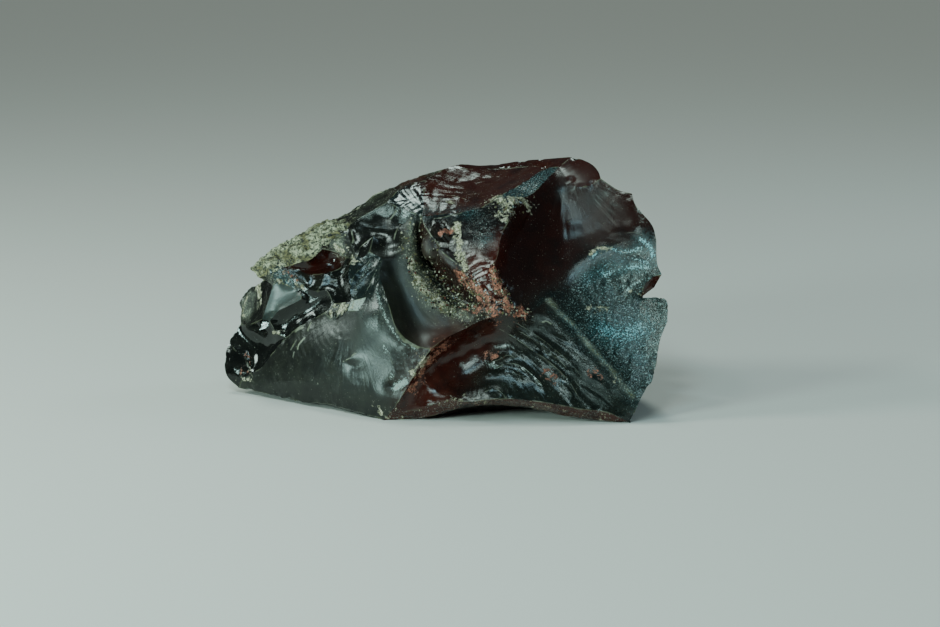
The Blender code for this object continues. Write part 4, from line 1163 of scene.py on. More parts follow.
class Skin:
    """All patches joined: shared points, triangles and the looks painted on them."""

    def __init__(self, spacing):
        self.cage = Cage(spacing)
        self.patches = [Patch(name, self.cage) for name in FACETS]
        self.points = [np.array(self.cage.points)]
        self.indices = []
        count = len(self.cage.points)
        for patch in self.patches:
            patch.add_break_lines()
            inner = patch.places()[patch.rim_count:]
            self.indices.append(np.array(patch.loop + list(range(count, count + len(inner)))))
            self.points.append(inner)
            count += len(inner)
        self.points = np.vstack(self.points)
        self.faces = np.vstack([i[p.triangles] for i, p in zip(self.indices, self.patches)])
        self.pairs = neighbours(self.faces)
        self.grounded = self.points[:, 2] < 1e-6
        self.chipped = np.zeros(len(self.points), bool)
        for patch, indices in zip(self.patches, self.indices):
            self.chipped[indices[patch.keep_plain]] = True
        self.drifts = self.lay_drifts()

    def normals(self):
        """Outward unit normal at each point."""
        corners = self.points[self.faces]
        face_normals = np.cross(corners[:, 1] - corners[:, 0], corners[:, 2] - corners[:, 0])
        total = np.zeros_like(self.points)
        for column in range(3):
            np.add.at(total, self.faces[:, column], face_normals)
        return total / np.linalg.norm(total, axis=1)[:, None]

    def distance_to(self, indices):
        """How far every point is from the nearest of some points."""
        return nearest_gap(self.points, self.points[indices])[0]

    def lay_drifts(self):
        """The share that the listed drifts give each look at each point."""
        shares = {key: np.zeros(len(self.points)) for key in PAINTED_LOOKS}
        for key, share, radius, course in DRIFTS:
            gap = nearest_gap(self.points, sampled(course, DRIFT_STEP))[0]
            covered = share * np.exp(-(gap / radius) ** 2)
            shares[key] = np.maximum(shares[key], covered)
        return shares

    def line_gap(self):
        """How far every point is from a pale line; a fainter line counts as further off."""
        faint = {}
        for patch, indices in zip(self.patches, self.indices):
            for spot, share in patch.pale_lines():
                faint[indices[spot]] = 1 - share
        for (start, end), share in PALE_RIDGES.items():
            for index in self.cage.whole_ridge(start, end):
                faint[index] = 1 - share
        sources = list(faint)
        gap, nearest = nearest_gap(self.points, self.points[sources])
        return gap + LINE_FAINTNESS * np.array(list(faint.values()))[nearest]

    def sides(self, pair):
        """Indices of the two patches that meet at a ridge."""
        found = []
        for index, patch in enumerate(self.patches):
            names = patch.corner_names
            if set(pair) in [set(ends) for ends in zip(names, names[1:] + names[:1])]:
                found.append(index)
        return found

    def soften_ridges(self):
        """Blend the slopes on both sides of each worn or shallow ridge."""
        share = np.zeros(len(self.points))
        for pair, reach in SOFT_RIDGES.items():
            ridge = self.points[self.cage.whole_ridge(*pair)]
            for side in self.sides(pair):
                near = self.indices[side]
                gap = nearest_gap(self.points[near], ridge)[0]
                share[near] = np.maximum(share[near], np.exp(-(gap / reach) ** 2))
        first, second = self.pairs.T
        degree = np.bincount(self.pairs.ravel(), minlength=len(share))[:, None]
        hard = np.zeros(len(share), bool)
        hard[self.sharp_indices()] = True
        share = np.where(hard | self.grounded | self.chipped, 0.0, share)[:, None]
        for _ in range(SOFTENING_PASSES):
            total = np.zeros_like(self.points)
            for axis in range(3):
                total[:, axis] = np.bincount(first, self.points[second, axis], len(total))
                total[:, axis] += np.bincount(second, self.points[first, axis], len(total))
            self.points += SOFTENING_STEP * share * (total / degree - self.points)

    def sharp_indices(self, shortest=0.0):
        """Points on the ridges that keep a hard line and are at least so long (mm)."""
        soft = {key for pair in SOFT_RIDGES for key in (pair, pair[::-1])}
        found = []
        for start, end in self.cage.ridges:
            course = self.cage.whole_ridge(start, end)
            if (start, end) not in soft and len(course) * self.cage.spacing > shortest:
                found += course
        return sorted(set(found))

    def raise_lobes(self):
        """Push what lies inside each lobe's ellipsoid out to the ellipsoid's surface."""
        for rise, width, facing, start, end in LOBES.values():
            out = np.array(heading(*facing))
            middle, along = (np.array(start) + end) / 2, (np.array(end) - start) / 2
            along -= out * (along @ out)
            across = np.cross(out, along / np.linalg.norm(along)) * width / 2
            scale = np.column_stack([along / (along @ along), across / (across @ across)])
            flat = ((self.points - middle) @ scale) ** 2
            depth = (self.points - middle) @ out
            top = rise * np.sqrt(np.clip(1 - flat.sum(axis=1), 0.0, 1.0))
            inside = (top > np.abs(depth)) & ~self.grounded
            self.points[inside] += (top - depth)[inside, None] * out

    def chip_ridges(self, rng):
        """Small flakes knocked off along the hard ridges."""
        normals = self.normals()
        tree = search_tree(self.points)
        dent = np.zeros(len(self.points))
        for index in rng.permutation(self.sharp_indices(FLAKED_RIDGE))[::FLAKE_EVERY]:
            radius = rng.uniform(*FLAKE_RADIUS)
            depth = radius * rng.uniform(*FLAKE_SLOPE)
            centre = Vector(self.points[index]) + Vector(rng.normal(0.0, FLAKE_JITTER, 3))
            for _, near, gap in tree.find_range(centre, radius):
                dent[near] = max(dent[near], depth * (1 - (gap / radius) ** 2))
        self.points -= normals * np.where(self.grounded | self.chipped, 0.0, dent)[:, None]

    def roughen(self):
        """Crumbs, weathered rind and dusty ground as real unevenness of the surface."""
        rind = self.point_share("rind")
        crumbs = self.point_share("crumbs")
        dust = np.maximum(self.point_share("dust"), self.point_share("cream"))
        rough = np.flatnonzero((rind + crumbs + dust > ROUGH_FROM) & ~self.grounded)
        places = self.points[rough]
        grain = noise_at(places, GRAIN_SIZE, 3)
        lumps = noise_at(places, LUMP_SIZE, 2)
        from_pit = [noise.voronoi(Vector(place) / PIT_SPACING)[0][0] for place in places]
        pits = -smooth_step(PIT_RADIUS - np.array(from_pit), 0.0, 0.3)
        height = rind[rough] * (RIND_HEIGHT * grain + RIND_HEIGHT * lumps + PIT_DEPTH * pits)
        height += crumbs[rough] * CRUMB_HEIGHT * (np.abs(grain) + lumps)
        height += dust[rough] * DUST_HEIGHT * grain
        self.points[rough] += self.normals()[rough] * height[:, None]
        self.points[:, 2] = np.maximum(self.points[:, 2], 0.0)

    def point_share(self, key):
        """A look's share at each point, the mean of the patches that meet there."""
        total = np.zeros(len(self.points))
        count = np.zeros(len(self.points))
        for patch, indices in zip(self.patches, self.indices):
            total[indices] += patch.look[key]
            count[indices] += 1
        return np.maximum(total / count, self.drifts[key])

    def painted(self, key):
        """A look's share at each face corner, blended across the soft ridges."""
        shares = [np.full(len(patch.spots), patch.look[key]) for patch in self.patches]
        for pair, reach in SOFT_RIDGES.items():
            one, other = self.sides(pair)
            for side, beyond in ((one, other), (other, one)):
                gap = self.ridge_gaps[pair][self.indices[side]]
                step = self.patches[beyond].look[key] - self.patches[side].look[key]
                shares[side] += 0.5 * step * np.exp(-gap / (1.5 * reach))
        parts = [share[patch.triangles] for share, patch in zip(shares, self.patches)]
        return np.maximum(np.vstack(parts), self.drifts[key][self.faces]).ravel()

    def finish(self, rng):
        """All the shaping that follows the joining, in order."""
        self.soften_ridges()
        self.raise_lobes()
        self.chip_ridges(rng)
        self.roughen()
        self.ridge_gaps = {
            pair: self.distance_to(self.cage.whole_ridge(*pair)) for pair in SOFT_RIDGES
        }
        self.edge_gap = self.distance_to(self.sharp_indices())
        self.pale_gap = self.line_gap()

    def to_mesh(self, name):
        """The skin as a Blender mesh in metres, with its looks as attributes."""
        mesh = bpy.data.meshes.new(name)
        corner_count = self.faces.size
        mesh.vertices.add(len(self.points))
        mesh.vertices.foreach_set("co", ((self.points - np.array(FOOTPRINT_MIDDLE)) * MM).ravel())
        mesh.loops.add(corner_count)
        mesh.loops.foreach_set("vertex_index", self.faces.ravel().astype(np.int32))
        mesh.polygons.add(len(self.faces))
        mesh.polygons.foreach_set("loop_start", np.arange(0, corner_count, 3, dtype=np.int32))
        mesh.update(calc_edges=True)
        for key in PAINTED_LOOKS:
            layer = mesh.attributes.new(key, "FLOAT", "CORNER")
            layer.data.foreach_set("value", self.painted(key).astype(np.float32))
        fan = mesh.attributes.new("fan", "FLOAT_VECTOR", "CORNER")
        fans = np.vstack([patch.fan()[patch.triangles.ravel()] for patch in self.patches])
        fan.data.foreach_set("vector", fans.astype(np.float32).ravel())
        for key, gap in (("edge_gap", self.edge_gap), ("line_gap", self.pale_gap)):
            layer = mesh.attributes.new(key, "FLOAT", "POINT")
            layer.data.foreach_set("value", gap.astype(np.float32))
        mesh.shade_smooth()
        mesh.set_sharp_from_angle(angle=math.radians(SHARP_ANGLE))
        return mesh


# ------------------------------------------------------------------ materials

ATTRIBUTE = "ShaderNodeAttribute"
BUMP = "ShaderNodeBump"
MATH = "ShaderNodeMath"
MIX = "ShaderNodeMix"
NOISE = "ShaderNodeTexNoise"
RANGE = "ShaderNodeMapRange"
VECTOR_MATH = "ShaderNodeVectorMath"


def linear(hex_colour):
    """An sRGB hex colour as linear RGBA."""
    channels = [int(hex_colour[place:place + 2], 16) / 255 for place in (1, 3, 5)]
    return *(c / 12.92 if c <= 0.04045 else ((c + 0.055) / 1.055) ** 2.4 for c in channels), 1.0


def add(tree, kind, inputs=None, **settings):
    """Add a node with its settings; an input takes a value, a socket or a node's main output."""
    made = tree.nodes.new(kind)
    for name, value in settings.items():
        setattr(made, name, value)
    for key, value in (inputs or {}).items():
        if isinstance(value, bpy.types.Node):
            value = next(output for output in value.outputs if output.enabled)
        if isinstance(value, bpy.types.NodeSocket):
            tree.links.new(value, made.inputs[key])
        else:
            made.inputs[key].default_value = value
    return made


def start_material(name):
    """A new material with its tree, its shader and its object coordinates in millimetres."""
    material = bpy.data.materials.new(name)
    material.use_nodes = True
    tree = material.node_tree
    place = add(tree, "ShaderNodeTexCoord").outputs["Object"]
    mm = add(tree, VECTOR_MATH, {0: place, "Scale": 1 / MM}, operation="SCALE")
    return material, tree, tree.nodes["Principled BSDF"], mm


# Noises in the glass and on it: size in mm, levels of detail, and roughness.
#   cloud: flow bands and the patches of painted red reflection; pores: haze and painted sheen
#   splinters: fine breaks, with painted glints; speck, drift: the dust's grains and drifts
#   hue: where dust and rind are stained; grain, clump: the powders' mottling and ragged edges
GLASS_NOISES = {
    "cloud": (6.0, 4.0, 0.5),
    "pores": (0.5, 4.0, 0.7),
    "splinters": (0.4, 3.0, 0.7),
    "speck": (0.42, 2.0, 0.6),
    "drift": (3.0, 4.0, 0.5),
    "hue": (4.0, 3.0, 0.5),
    "grain": (0.8, 4.0, 0.7),
    "clump": (1.8, 5.0, 0.75),
}

# Hackle lines too fine for the mesh: how many there are in a radian round the blow, twice
# because the direction has two parts, and how often they change in a mm along them.  At 22 a
# radian they are 1 mm apart at 22 mm from the blow, as coarse as they need to be to show.
FINE_HACKLES = (22.0, 22.0, 0.12)


def cloudy_glass(tree, colours, shares, noises):
    """The body's tints: grey-green clouds, painted red reflection and painted blue-green sheen."""
    smoky = add(tree, RANGE, {0: noises["cloud"], 1: 0.25, 2: 0.65, 4: shares["smoke"]})
    colour = add(tree, MIX, {0: smoky, 6: colours.glass, 7: colours.smoke}, data_type="RGBA")
    painted_red_share = add(tree, RANGE, {0: noises["cloud"], 1: 0.15, 2: 0.5, 4: shares["mahogany"]})
    colour = add(tree, MIX, {0: painted_red_share, 6: colour, 7: colours.mahogany}, data_type="RGBA")
    sheen = add(tree, RANGE, {0: noises["pores"], 1: 0.35, 2: 0.7, 4: shares["teal"]})
    return add(tree, MIX, {0: sheen, 6: colour, 7: colours.teal}, data_type="RGBA")


def frosted_with_painted_glints(tree, colours, shares, noises, colour):
    """A colour with pale specks of 0.4 mm painted on as glints where the glass is finely broken."""
    splinters, frost = noises["splinters"], shares["frost"]
    dense = add(tree, MATH, {0: frost, 1: 0.2, 2: splinters}, operation="MULTIPLY_ADD")
    painted_glint_share = add(tree, RANGE, {0: dense, 1: 0.70, 2: 0.80, 4: frost})
    painted_glint = add(tree, MIX, {0: shares["teal"], 6: colours.painted_glint, 7: colours.painted_blue_glint},
                   data_type="RGBA")
    return add(tree, MIX, {0: painted_glint_share, 6: colour, 7: painted_glint}, data_type="RGBA")


def dust_cover(tree, shares, noises):
    """How much dust lies where: a thin film in drifts, and specks of 0.2 to 0.5 mm."""
    limit = add(tree, MATH, {0: shares["dust"], 1: -0.25, 2: 0.80}, operation="MULTIPLY_ADD")
    limit = add(tree, MATH, {0: noises["drift"], 1: -0.22, 2: limit}, operation="MULTIPLY_ADD")
    over = add(tree, MATH, {0: noises["speck"], 1: limit}, operation="SUBTRACT")
    specks = add(tree, RANGE, {0: over, 1: 0.0, 2: 0.16})
    film = add(tree, RANGE, {0: noises["drift"], 1: 0.35, 2: 0.75, 4: shares["dust"]})
    film = add(tree, MATH, {0: film, 1: 0.4}, operation="MULTIPLY")
    return add(tree, MATH, {0: film, 1: specks}, operation="MAXIMUM")


def pale_edges(tree, shares, noises):
    """How pale the ridges are: broken lines of crushed glass and of painted glints, and wear on
    every hard ridge.
    """
    worn = add(tree, RANGE, {0: shares["edge_gap"], 1: 0.05, 2: 0.35, 3: 0.5, 4: 0.0})
    gaps = add(tree, RANGE, {0: noises["hue"], 1: 0.52, 2: 0.62})
    worn = add(tree, MATH, {0: worn, 1: gaps}, operation="MULTIPLY")
    line = add(tree, RANGE, {0: shares["line_gap"], 1: 0.1, 2: 0.4, 3: 0.75, 4: 0.0})
    broken = add(tree, RANGE, {0: noises["drift"], 1: 0.42, 2: 0.56})
    line = add(tree, MATH, {0: line, 1: broken}, operation="MULTIPLY")
    return add(tree, MATH, {0: line, 1: worn}, operation="MAXIMUM")


def powders(tree, colours, noises):
    """The colours of rust, cream powder and rind, each mottled by grains of 0.8 mm."""
    fleck = add(tree, RANGE, {0: noises["grain"], 1: 0.6, 2: 0.38})
    ochre = add(tree, RANGE, {0: noises["hue"], 1: 0.42, 2: 0.58})
    pitted = add(tree, RANGE, {0: noises["grain"], 1: 0.53, 2: 0.42})
    shaded = add(tree, RANGE, {0: noises["splinters"], 1: 0.5, 2: 0.38})
    rind = add(tree, MIX, {0: ochre, 6: colours.rind, 7: colours.ochre}, data_type="RGBA")
    rind = add(tree, MIX, {0: pitted, 6: rind, 7: colours.pit}, data_type="RGBA")
    cream = add(tree, MIX, {0: fleck, 6: colours.cream, 7: colours.ochre}, data_type="RGBA")
    rust = add(tree, MIX, {0: fleck, 6: colours.peach, 7: colours.rust}, data_type="RGBA")
    return {
        key: add(tree, MIX, {0: shaded, 6: layer, 7: colours.pit}, data_type="RGBA")
        for key, layer in (("rust", rust), ("cream", cream), ("rind", rind))
    }


def covered_glass(tree, colours, shares, noises, colour):
    """A colour under dust and powders, and how much of it they cover."""
    dusty = dust_cover(tree, shares, noises)
    edges = pale_edges(tree, shares, noises)
    cover = add(tree, MATH, {0: dusty, 1: edges}, operation="MAXIMUM")
    stained = add(tree, RANGE, {0: noises["hue"], 1: 0.42, 2: 0.6})
    dust = add(tree, MIX, {0: stained, 6: colours.dust, 7: colours.olive}, data_type="RGBA")
    colour = add(tree, MIX, {0: cover, 6: colour, 7: dust}, data_type="RGBA")
    ragged = add(tree, RANGE, {0: noises["clump"], 1: 0.25, 2: 0.75, 3: -0.9, 4: 0.9})
    for key, layer in powders(tree, colours, noises).items():
        heaped = add(tree, MATH, {0: shares[key], 1: ragged}, operation="ADD")
        most = add(tree, RANGE, {0: shares[key], 1: 0.0, 2: 0.12})
        heaped = add(tree, RANGE, {0: heaped, 1: 0.5, 2: 0.7, 4: most})
        colour = add(tree, MIX, {0: heaped, 6: colour, 7: layer}, data_type="RGBA")
        cover = add(tree, MATH, {0: cover, 1: heaped}, operation="MAXIMUM")
    return colour, cover


def glass_gloss(tree, shares, noises, cover):
    """Roughness: the glass is glossy where it is clean, and dull where worn or covered."""
    haze = add(tree, MATH, {0: shares["dust"], 1: noises["pores"]}, operation="MULTIPLY")
    haze = add(tree, RANGE, {0: haze, 1: 0.0, 2: 0.6, 3: 0.08, 4: 0.38})
    dull = add(tree, MATH, {0: shares["matte"], 1: 0.7, 2: haze}, operation="MULTIPLY_ADD")
    return add(tree, MATH, {0: cover, 1: 0.6, 2: dull}, operation="MULTIPLY_ADD")


def fine_relief(tree, shares, noises, cover):
    """Bump: fine hackle lines, splinters and the thickness of what lies on the glass."""
    fan = add(tree, ATTRIBUTE, attribute_name="fan").outputs["Vector"]
    spread = add(tree, VECTOR_MATH, {0: fan, 1: FINE_HACKLES}, operation="MULTIPLY")
    lines = add(tree, NOISE, {"Vector": spread, "Scale": 1.0, "Detail": 4.0, "Roughness": 0.65})
    relief = add(tree, BUMP, {"Height": lines, "Strength": 0.35, "Distance": 0.2 * MM})
    rough = add(tree, MATH, {0: shares["dust"], 1: shares["frost"]}, operation="ADD")
    rough = add(tree, MATH, {0: rough, 1: 0.5}, operation="MULTIPLY")
    relief = add(tree, BUMP, {
        "Height": noises["splinters"], "Strength": rough, "Distance": 0.3 * MM,
        "Normal": relief,
    })
    return add(tree, BUMP, {
        "Height": cover, "Strength": 0.5, "Distance": 0.15 * MM, "Normal": relief,
    })


def volcanic_glass(colours):
    """Obsidian: natural glass broken by blows, black and opaque at this thickness.

    It is glossy as the edge of a broken bottle, with grey-green clouds, painted red and
    blue-green reflections, painted glints, hackle lines too fine for the mesh, pale dust in
    its pores and along its edges, and a chalky rind where it weathered.
    """
    material, tree, shader, mm = start_material("obsidian_volcanic_glass")
    shares = {
        key: add(tree, ATTRIBUTE, attribute_name=key).outputs["Fac"]
        for key in (*PAINTED_LOOKS, "edge_gap", "line_gap") if key != "crumbs"
    }
    noises = {
        name: add(tree, NOISE, {
            "Vector": mm, "Scale": 1 / size, "Detail": detail, "Roughness": roughness,
        })
        for name, (size, detail, roughness) in GLASS_NOISES.items()
    }
    colour = cloudy_glass(tree, colours, shares, noises)
    colour = frosted_with_painted_glints(tree, colours, shares, noises, colour)
    colour, cover = covered_glass(tree, colours, shares, noises, colour)
    tree.links.new(colour.outputs[2], shader.inputs["Base Color"])
    gloss = glass_gloss(tree, shares, noises, cover)
    tree.links.new(gloss.outputs[0], shader.inputs["Roughness"])
    shader.inputs["IOR"].default_value = 1.49
    relief = fine_relief(tree, shares, noises, cover)
    tree.links.new(relief.outputs[0], shader.inputs["Normal"])
    return material


def crushed_glass(colours):
    """Crumbs in the cracks: glass crushed to sand and mixed with clay.

    Most grains are dull cream, ochre or rust, and some are still black and glossy.
    """
    material, tree, shader, mm = start_material("crushed_glass_and_clay")
    shade = add(tree, ATTRIBUTE, attribute_name="shade").outputs["Fac"]
    ramp = add(tree, "ShaderNodeValToRGB", {0: shade})
    stops = ((0.0, colours.cream), (0.3, colours.ochre), (0.52, colours.olive),
             (0.72, colours.rust), (0.84, colours.glass))
    ramp.color_ramp.interpolation = "CONSTANT"
    for _ in stops[2:]:
        ramp.color_ramp.elements.new(1.0)
    for element, (position, colour) in zip(ramp.color_ramp.elements, stops):
        element.position = position
        element.color = colour
    mottle = add(tree, NOISE, {"Vector": mm, "Scale": 1 / 0.4, "Detail": 3.0})
    shaded = add(tree, RANGE, {0: mottle, 1: 0.35, 2: 0.65, 4: 0.5})
    colour = add(tree, MIX, {0: shaded, 6: ramp, 7: colours.pit}, data_type="RGBA")
    tree.links.new(colour.outputs[2], shader.inputs["Base Color"])
    gloss = add(tree, RANGE, {0: shade, 1: 0.81, 2: 0.83, 3: 0.8, 4: 0.2})
    tree.links.new(gloss.outputs[0], shader.inputs["Roughness"])
    relief = add(tree, BUMP, {"Height": mottle, "Strength": 0.6, "Distance": 0.12 * MM})
    tree.links.new(relief.outputs[0], shader.inputs["Normal"])
    return material


def matt_card(colours):
    """The floor: pale card, rolled smooth, which gives soft light back and no mirror image."""
    material, tree, shader, mm = start_material("matt_card")
    fibre = add(tree, NOISE, {"Vector": mm, "Scale": 1 / 0.8, "Detail": 3.0})
    shader.inputs["Base Color"].default_value = colours.floor
    shader.inputs["Roughness"].default_value = 0.9
    shader.inputs["Specular IOR Level"].default_value = 0.15
    relief = add(tree, BUMP, {"Height": fibre, "Strength": 0.1, "Distance": 0.05 * MM})
    tree.links.new(relief.outputs[0], shader.inputs["Normal"])
    return material


# ------------------------------------------------------------------ crumbs

GRAIN_KINDS = 6
GRAIN_CORNERS = 10
GRAIN_RADIUS = (0.35, 0.55)  # from a grain's middle to its corners
GRAIN_SHAPE = Vector((1.0, 0.85, 0.7))


def grain_shapes(rng):
    """A few angular grains, about one unit across, for the scatter to pick from."""
    collection = bpy.data.collections.new("grain_shapes")
    for number in range(GRAIN_KINDS):
        bm = bmesh.new()
        for _ in range(GRAIN_CORNERS):
            corner = Vector(rng.normal(size=3)).normalized() * rng.uniform(*GRAIN_RADIUS)
            bm.verts.new(corner * GRAIN_SHAPE)
        hull = bmesh.ops.convex_hull(bm, input=bm.verts)
        bmesh.ops.delete(bm, geom=list(set(hull["geom_interior"])), context="VERTS")
        bmesh.ops.recalc_face_normals(bm, faces=bm.faces)
        mesh = bpy.data.meshes.new(f"grain_{number}")
        bm.to_mesh(mesh)
        bm.free()
        collection.objects.link(bpy.data.objects.new(mesh.name, mesh))
    return collection


def scatter_tree():
    """Geometry Nodes: grains on the ground mesh, thickest where its crumbs value is high."""
    tree = bpy.data.node_groups.new("crumb_scatter", "GeometryNodeTree")
    sockets = (("Ground", "Geometry"), ("Grains", "Collection"), ("Density", "Float"),
               ("Smallest", "Float"), ("Largest", "Float"), ("Material", "Material"),
               ("Seed", "Int"))
    for name, kind in sockets:
        tree.interface.new_socket(name, in_out="INPUT", socket_type=f"NodeSocket{kind}")
    tree.interface.new_socket("Crumbs", in_out="OUTPUT", socket_type="NodeSocketGeometry")
    given = add(tree, "NodeGroupInput").outputs
    crumbs = add(tree, "GeometryNodeInputNamedAttribute", {"Name": "crumbs"}, data_type="FLOAT")
    share = add(tree, MATH, {0: crumbs, 1: 1.5}, operation="POWER")
    density = add(tree, MATH, {0: share, 1: given["Density"]}, operation="MULTIPLY")
    spots = add(tree, "GeometryNodeDistributePointsOnFaces", {
        "Mesh": given["Ground"], "Density": density, "Seed": given["Seed"],
    })
    turn = add(tree, "FunctionNodeRandomValue", {
        0: (0.0, 0.0, 0.0), 1: (math.tau, math.tau, math.tau), "Seed": given["Seed"],
    }, data_type="FLOAT_VECTOR")
    chance = add(tree, "FunctionNodeRandomValue", {"Seed": given["Seed"]}, data_type="FLOAT")
    mostly_small = add(tree, MATH, {0: chance, 1: 2.2}, operation="POWER")
    size = add(tree, RANGE, {0: mostly_small, 3: given["Smallest"], 4: given["Largest"]})
    grains = add(tree, "GeometryNodeCollectionInfo", {
        "Collection": given["Grains"], "Separate Children": True, "Reset Children": True,
    })
    placed = add(tree, "GeometryNodeInstanceOnPoints", {
        "Points": spots, "Instance": grains, "Pick Instance": True, "Rotation": turn,
        "Scale": size,
    })
    shade = add(tree, "FunctionNodeRandomValue", {"Seed": 5}, data_type="FLOAT")
    marked = add(tree, "GeometryNodeStoreNamedAttribute", {
        "Geometry": placed, "Name": "shade", "Value": shade,
    }, data_type="FLOAT", domain="INSTANCE")
    real = add(tree, "GeometryNodeRealizeInstances", {"Geometry": marked})
    coated = add(tree, "GeometryNodeSetMaterial", {
        "Geometry": real, "Material": given["Material"],
    })
    add(tree, "NodeGroupOutput", {"Crumbs": coated})
    return tree


def scatter(name, ground, values):
    """Run the scatter over a ground mesh and keep its result as a plain piece."""
    carrier = bpy.data.objects.new(name, ground.copy())
    bpy.context.scene.collection.objects.link(carrier)
    modifier = carrier.modifiers.new("crumb_scatter", "NODES")
    modifier.node_group = scatter_tree()
    for item in modifier.node_group.interface.items_tree:
        if item.name in values:
            modifier[item.identifier] = values[item.name]
    seen = carrier.evaluated_get(bpy.context.evaluated_depsgraph_get())
    mesh = bpy.data.meshes.new_from_object(seen)
    carrier.modifiers.remove(modifier)
    carrier.data = mesh
    mesh.name = name
    return carrier


# ------------------------------------------------------------------ settings


def colour_choice(name, description, hex_colour):
    """A colour that a user can change, with an sRGB hex value as its default."""
    return FloatVectorProperty(
        name=name, description=description, subtype="COLOR", size=4, min=0.0, max=1.0,
        default=linear(hex_colour),
    )


class GlassColours(PropertyGroup):
    """Colours of the glass, its dust and its rind, and of its painted reflections and glints."""

    glass: colour_choice("Glass", "The black glass itself", "#0B0D0C")
    smoke: colour_choice("Smoke", "Grey-green clouds in the glass", "#26281F")
    # Painted red reflection, laid as iron-red clouds in the glass.
    mahogany: colour_choice("Mahogany", "Iron-red clouds in the glass", "#40120A")
    # Painted blue-green sheen, laid as a haze on the glass.
    teal: colour_choice("Teal", "Blue-green haze on fine hackles", "#2C5054")
    # Pale specks painted as glints where the glass is finely broken.
    painted_glint: colour_choice("Splinters", "Glass broken too finely to mirror", "#A2ACA4")
    # Blue-green specks painted as glints where the blue-green sheen lies.
    painted_blue_glint: colour_choice("Icy splinters", "Blue-green splinters", "#8CC6D2")
    dust: colour_choice("Dust", "Thin powder of crushed glass", "#A3A592")
    olive: colour_choice("Olive dust", "Powder stained by moss and clay", "#66684C")
    cream: colour_choice("Cream", "Thick pale powder", "#D2CAB2")
    peach: colour_choice("Peach", "Clay stained by iron", "#C47E66")
    rust: colour_choice("Rust", "Iron stain", "#64281C")
    rind: colour_choice("Rind", "Weathered surface", "#C0BF9E")
    ochre: colour_choice("Ochre", "Clay in the weathered surface", "#77704A")
    pit: colour_choice("Pits", "Dirt in pits and cracks", "#24241B")
    floor: colour_choice("Floor", "Card the stone stands on", "#ECE6E0")


class StoneSizes(PropertyGroup):
    """Fineness of the stone's surface and of what lies on it."""

    spacing: FloatProperty(
        name="Surface spacing", description="Edge length of the surface's triangles",
        unit="LENGTH", default=0.52 * MM, min=0.4 * MM, max=3.0 * MM, precision=5,
    )
    seed: IntProperty(name="Seed", description="Seed of flakes and crumbs", default=11)
    crumb_small: FloatProperty(
        name="Smallest crumb", description="Smallest crumb that is drawn", unit="LENGTH",
        default=0.3 * MM, min=0.1 * MM, max=2.0 * MM, precision=5,
    )
    crumb_large: FloatProperty(
        name="Largest crumb", description="Largest crumb that is drawn", unit="LENGTH",
        default=1.2 * MM, min=0.2 * MM, max=4.0 * MM, precision=5,
    )
    crumb_density: FloatProperty(
        name="Crumbs", description="Crumbs on a square metre where they lie thickest",
        default=4e6, min=0.0, max=1e7,
    )


class StageSizes(PropertyGroup):
    """The camera and the lights around the stone."""

    lens: FloatProperty(
        name="Lens", description="Focal length of the camera", unit="CAMERA", default=85.0,
        min=20.0, max=300.0,
    )
    distance: FloatProperty(
        name="Distance", description="From the camera to its aim", unit="LENGTH",
        default=0.6, min=0.2, max=3.0,
    )
    elevation: FloatProperty(
        name="Elevation", description="How far the camera looks down", subtype="ANGLE",
        default=math.radians(12.0), min=0.0, max=math.radians(89.0),
    )
    brightness: FloatProperty(
        name="Brightness", description="Factor on every light", default=1.0, min=0.0, max=10.0,
    )


# ------------------------------------------------------------------ operators


class OBSIDIAN_OT_stone(Operator):
    """Build the stone's finished surface and put it in place of its plain solid"""

    bl_idname = "obsidian.stone"
    bl_label = "Build stone"

    def execute(self, context):
        sizes = context.scene.stone_sizes
        skin = Skin(sizes.spacing / MM)
        skin.finish(np.random.default_rng(sizes.seed))
        mesh = skin.to_mesh("obsidian_stone")
        mesh.materials.append(volcanic_glass(context.scene.glass_colours))
        stone = bpy.data.objects.new("obsidian_stone", mesh)
        context.scene.collection.objects.link(stone)
        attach(stone, "root")
        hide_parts(NODE_NAME)
        return {"FINISHED"}


class OBSIDIAN_OT_crumbs(Operator):
    """Scatter crumbs of crushed glass and clay in the stone's cracks and hollows"""

    bl_idname = "obsidian.crumbs"
    bl_label = "Scatter crumbs"

    def execute(self, context):
        sizes = context.scene.stone_sizes
        shapes = grain_shapes(np.random.default_rng(sizes.seed))
        crumbs = scatter("obsidian_crumbs", bpy.data.objects["obsidian_stone"].data, {
            "Grains": shapes, "Density": sizes.crumb_density, "Smallest": sizes.crumb_small,
            "Largest": sizes.crumb_large, "Seed": sizes.seed,
            "Material": crushed_glass(context.scene.glass_colours),
        })
        for shape in list(shapes.objects):
            bpy.data.objects.remove(shape)
        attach(crumbs, "root")
        return {"FINISHED"}


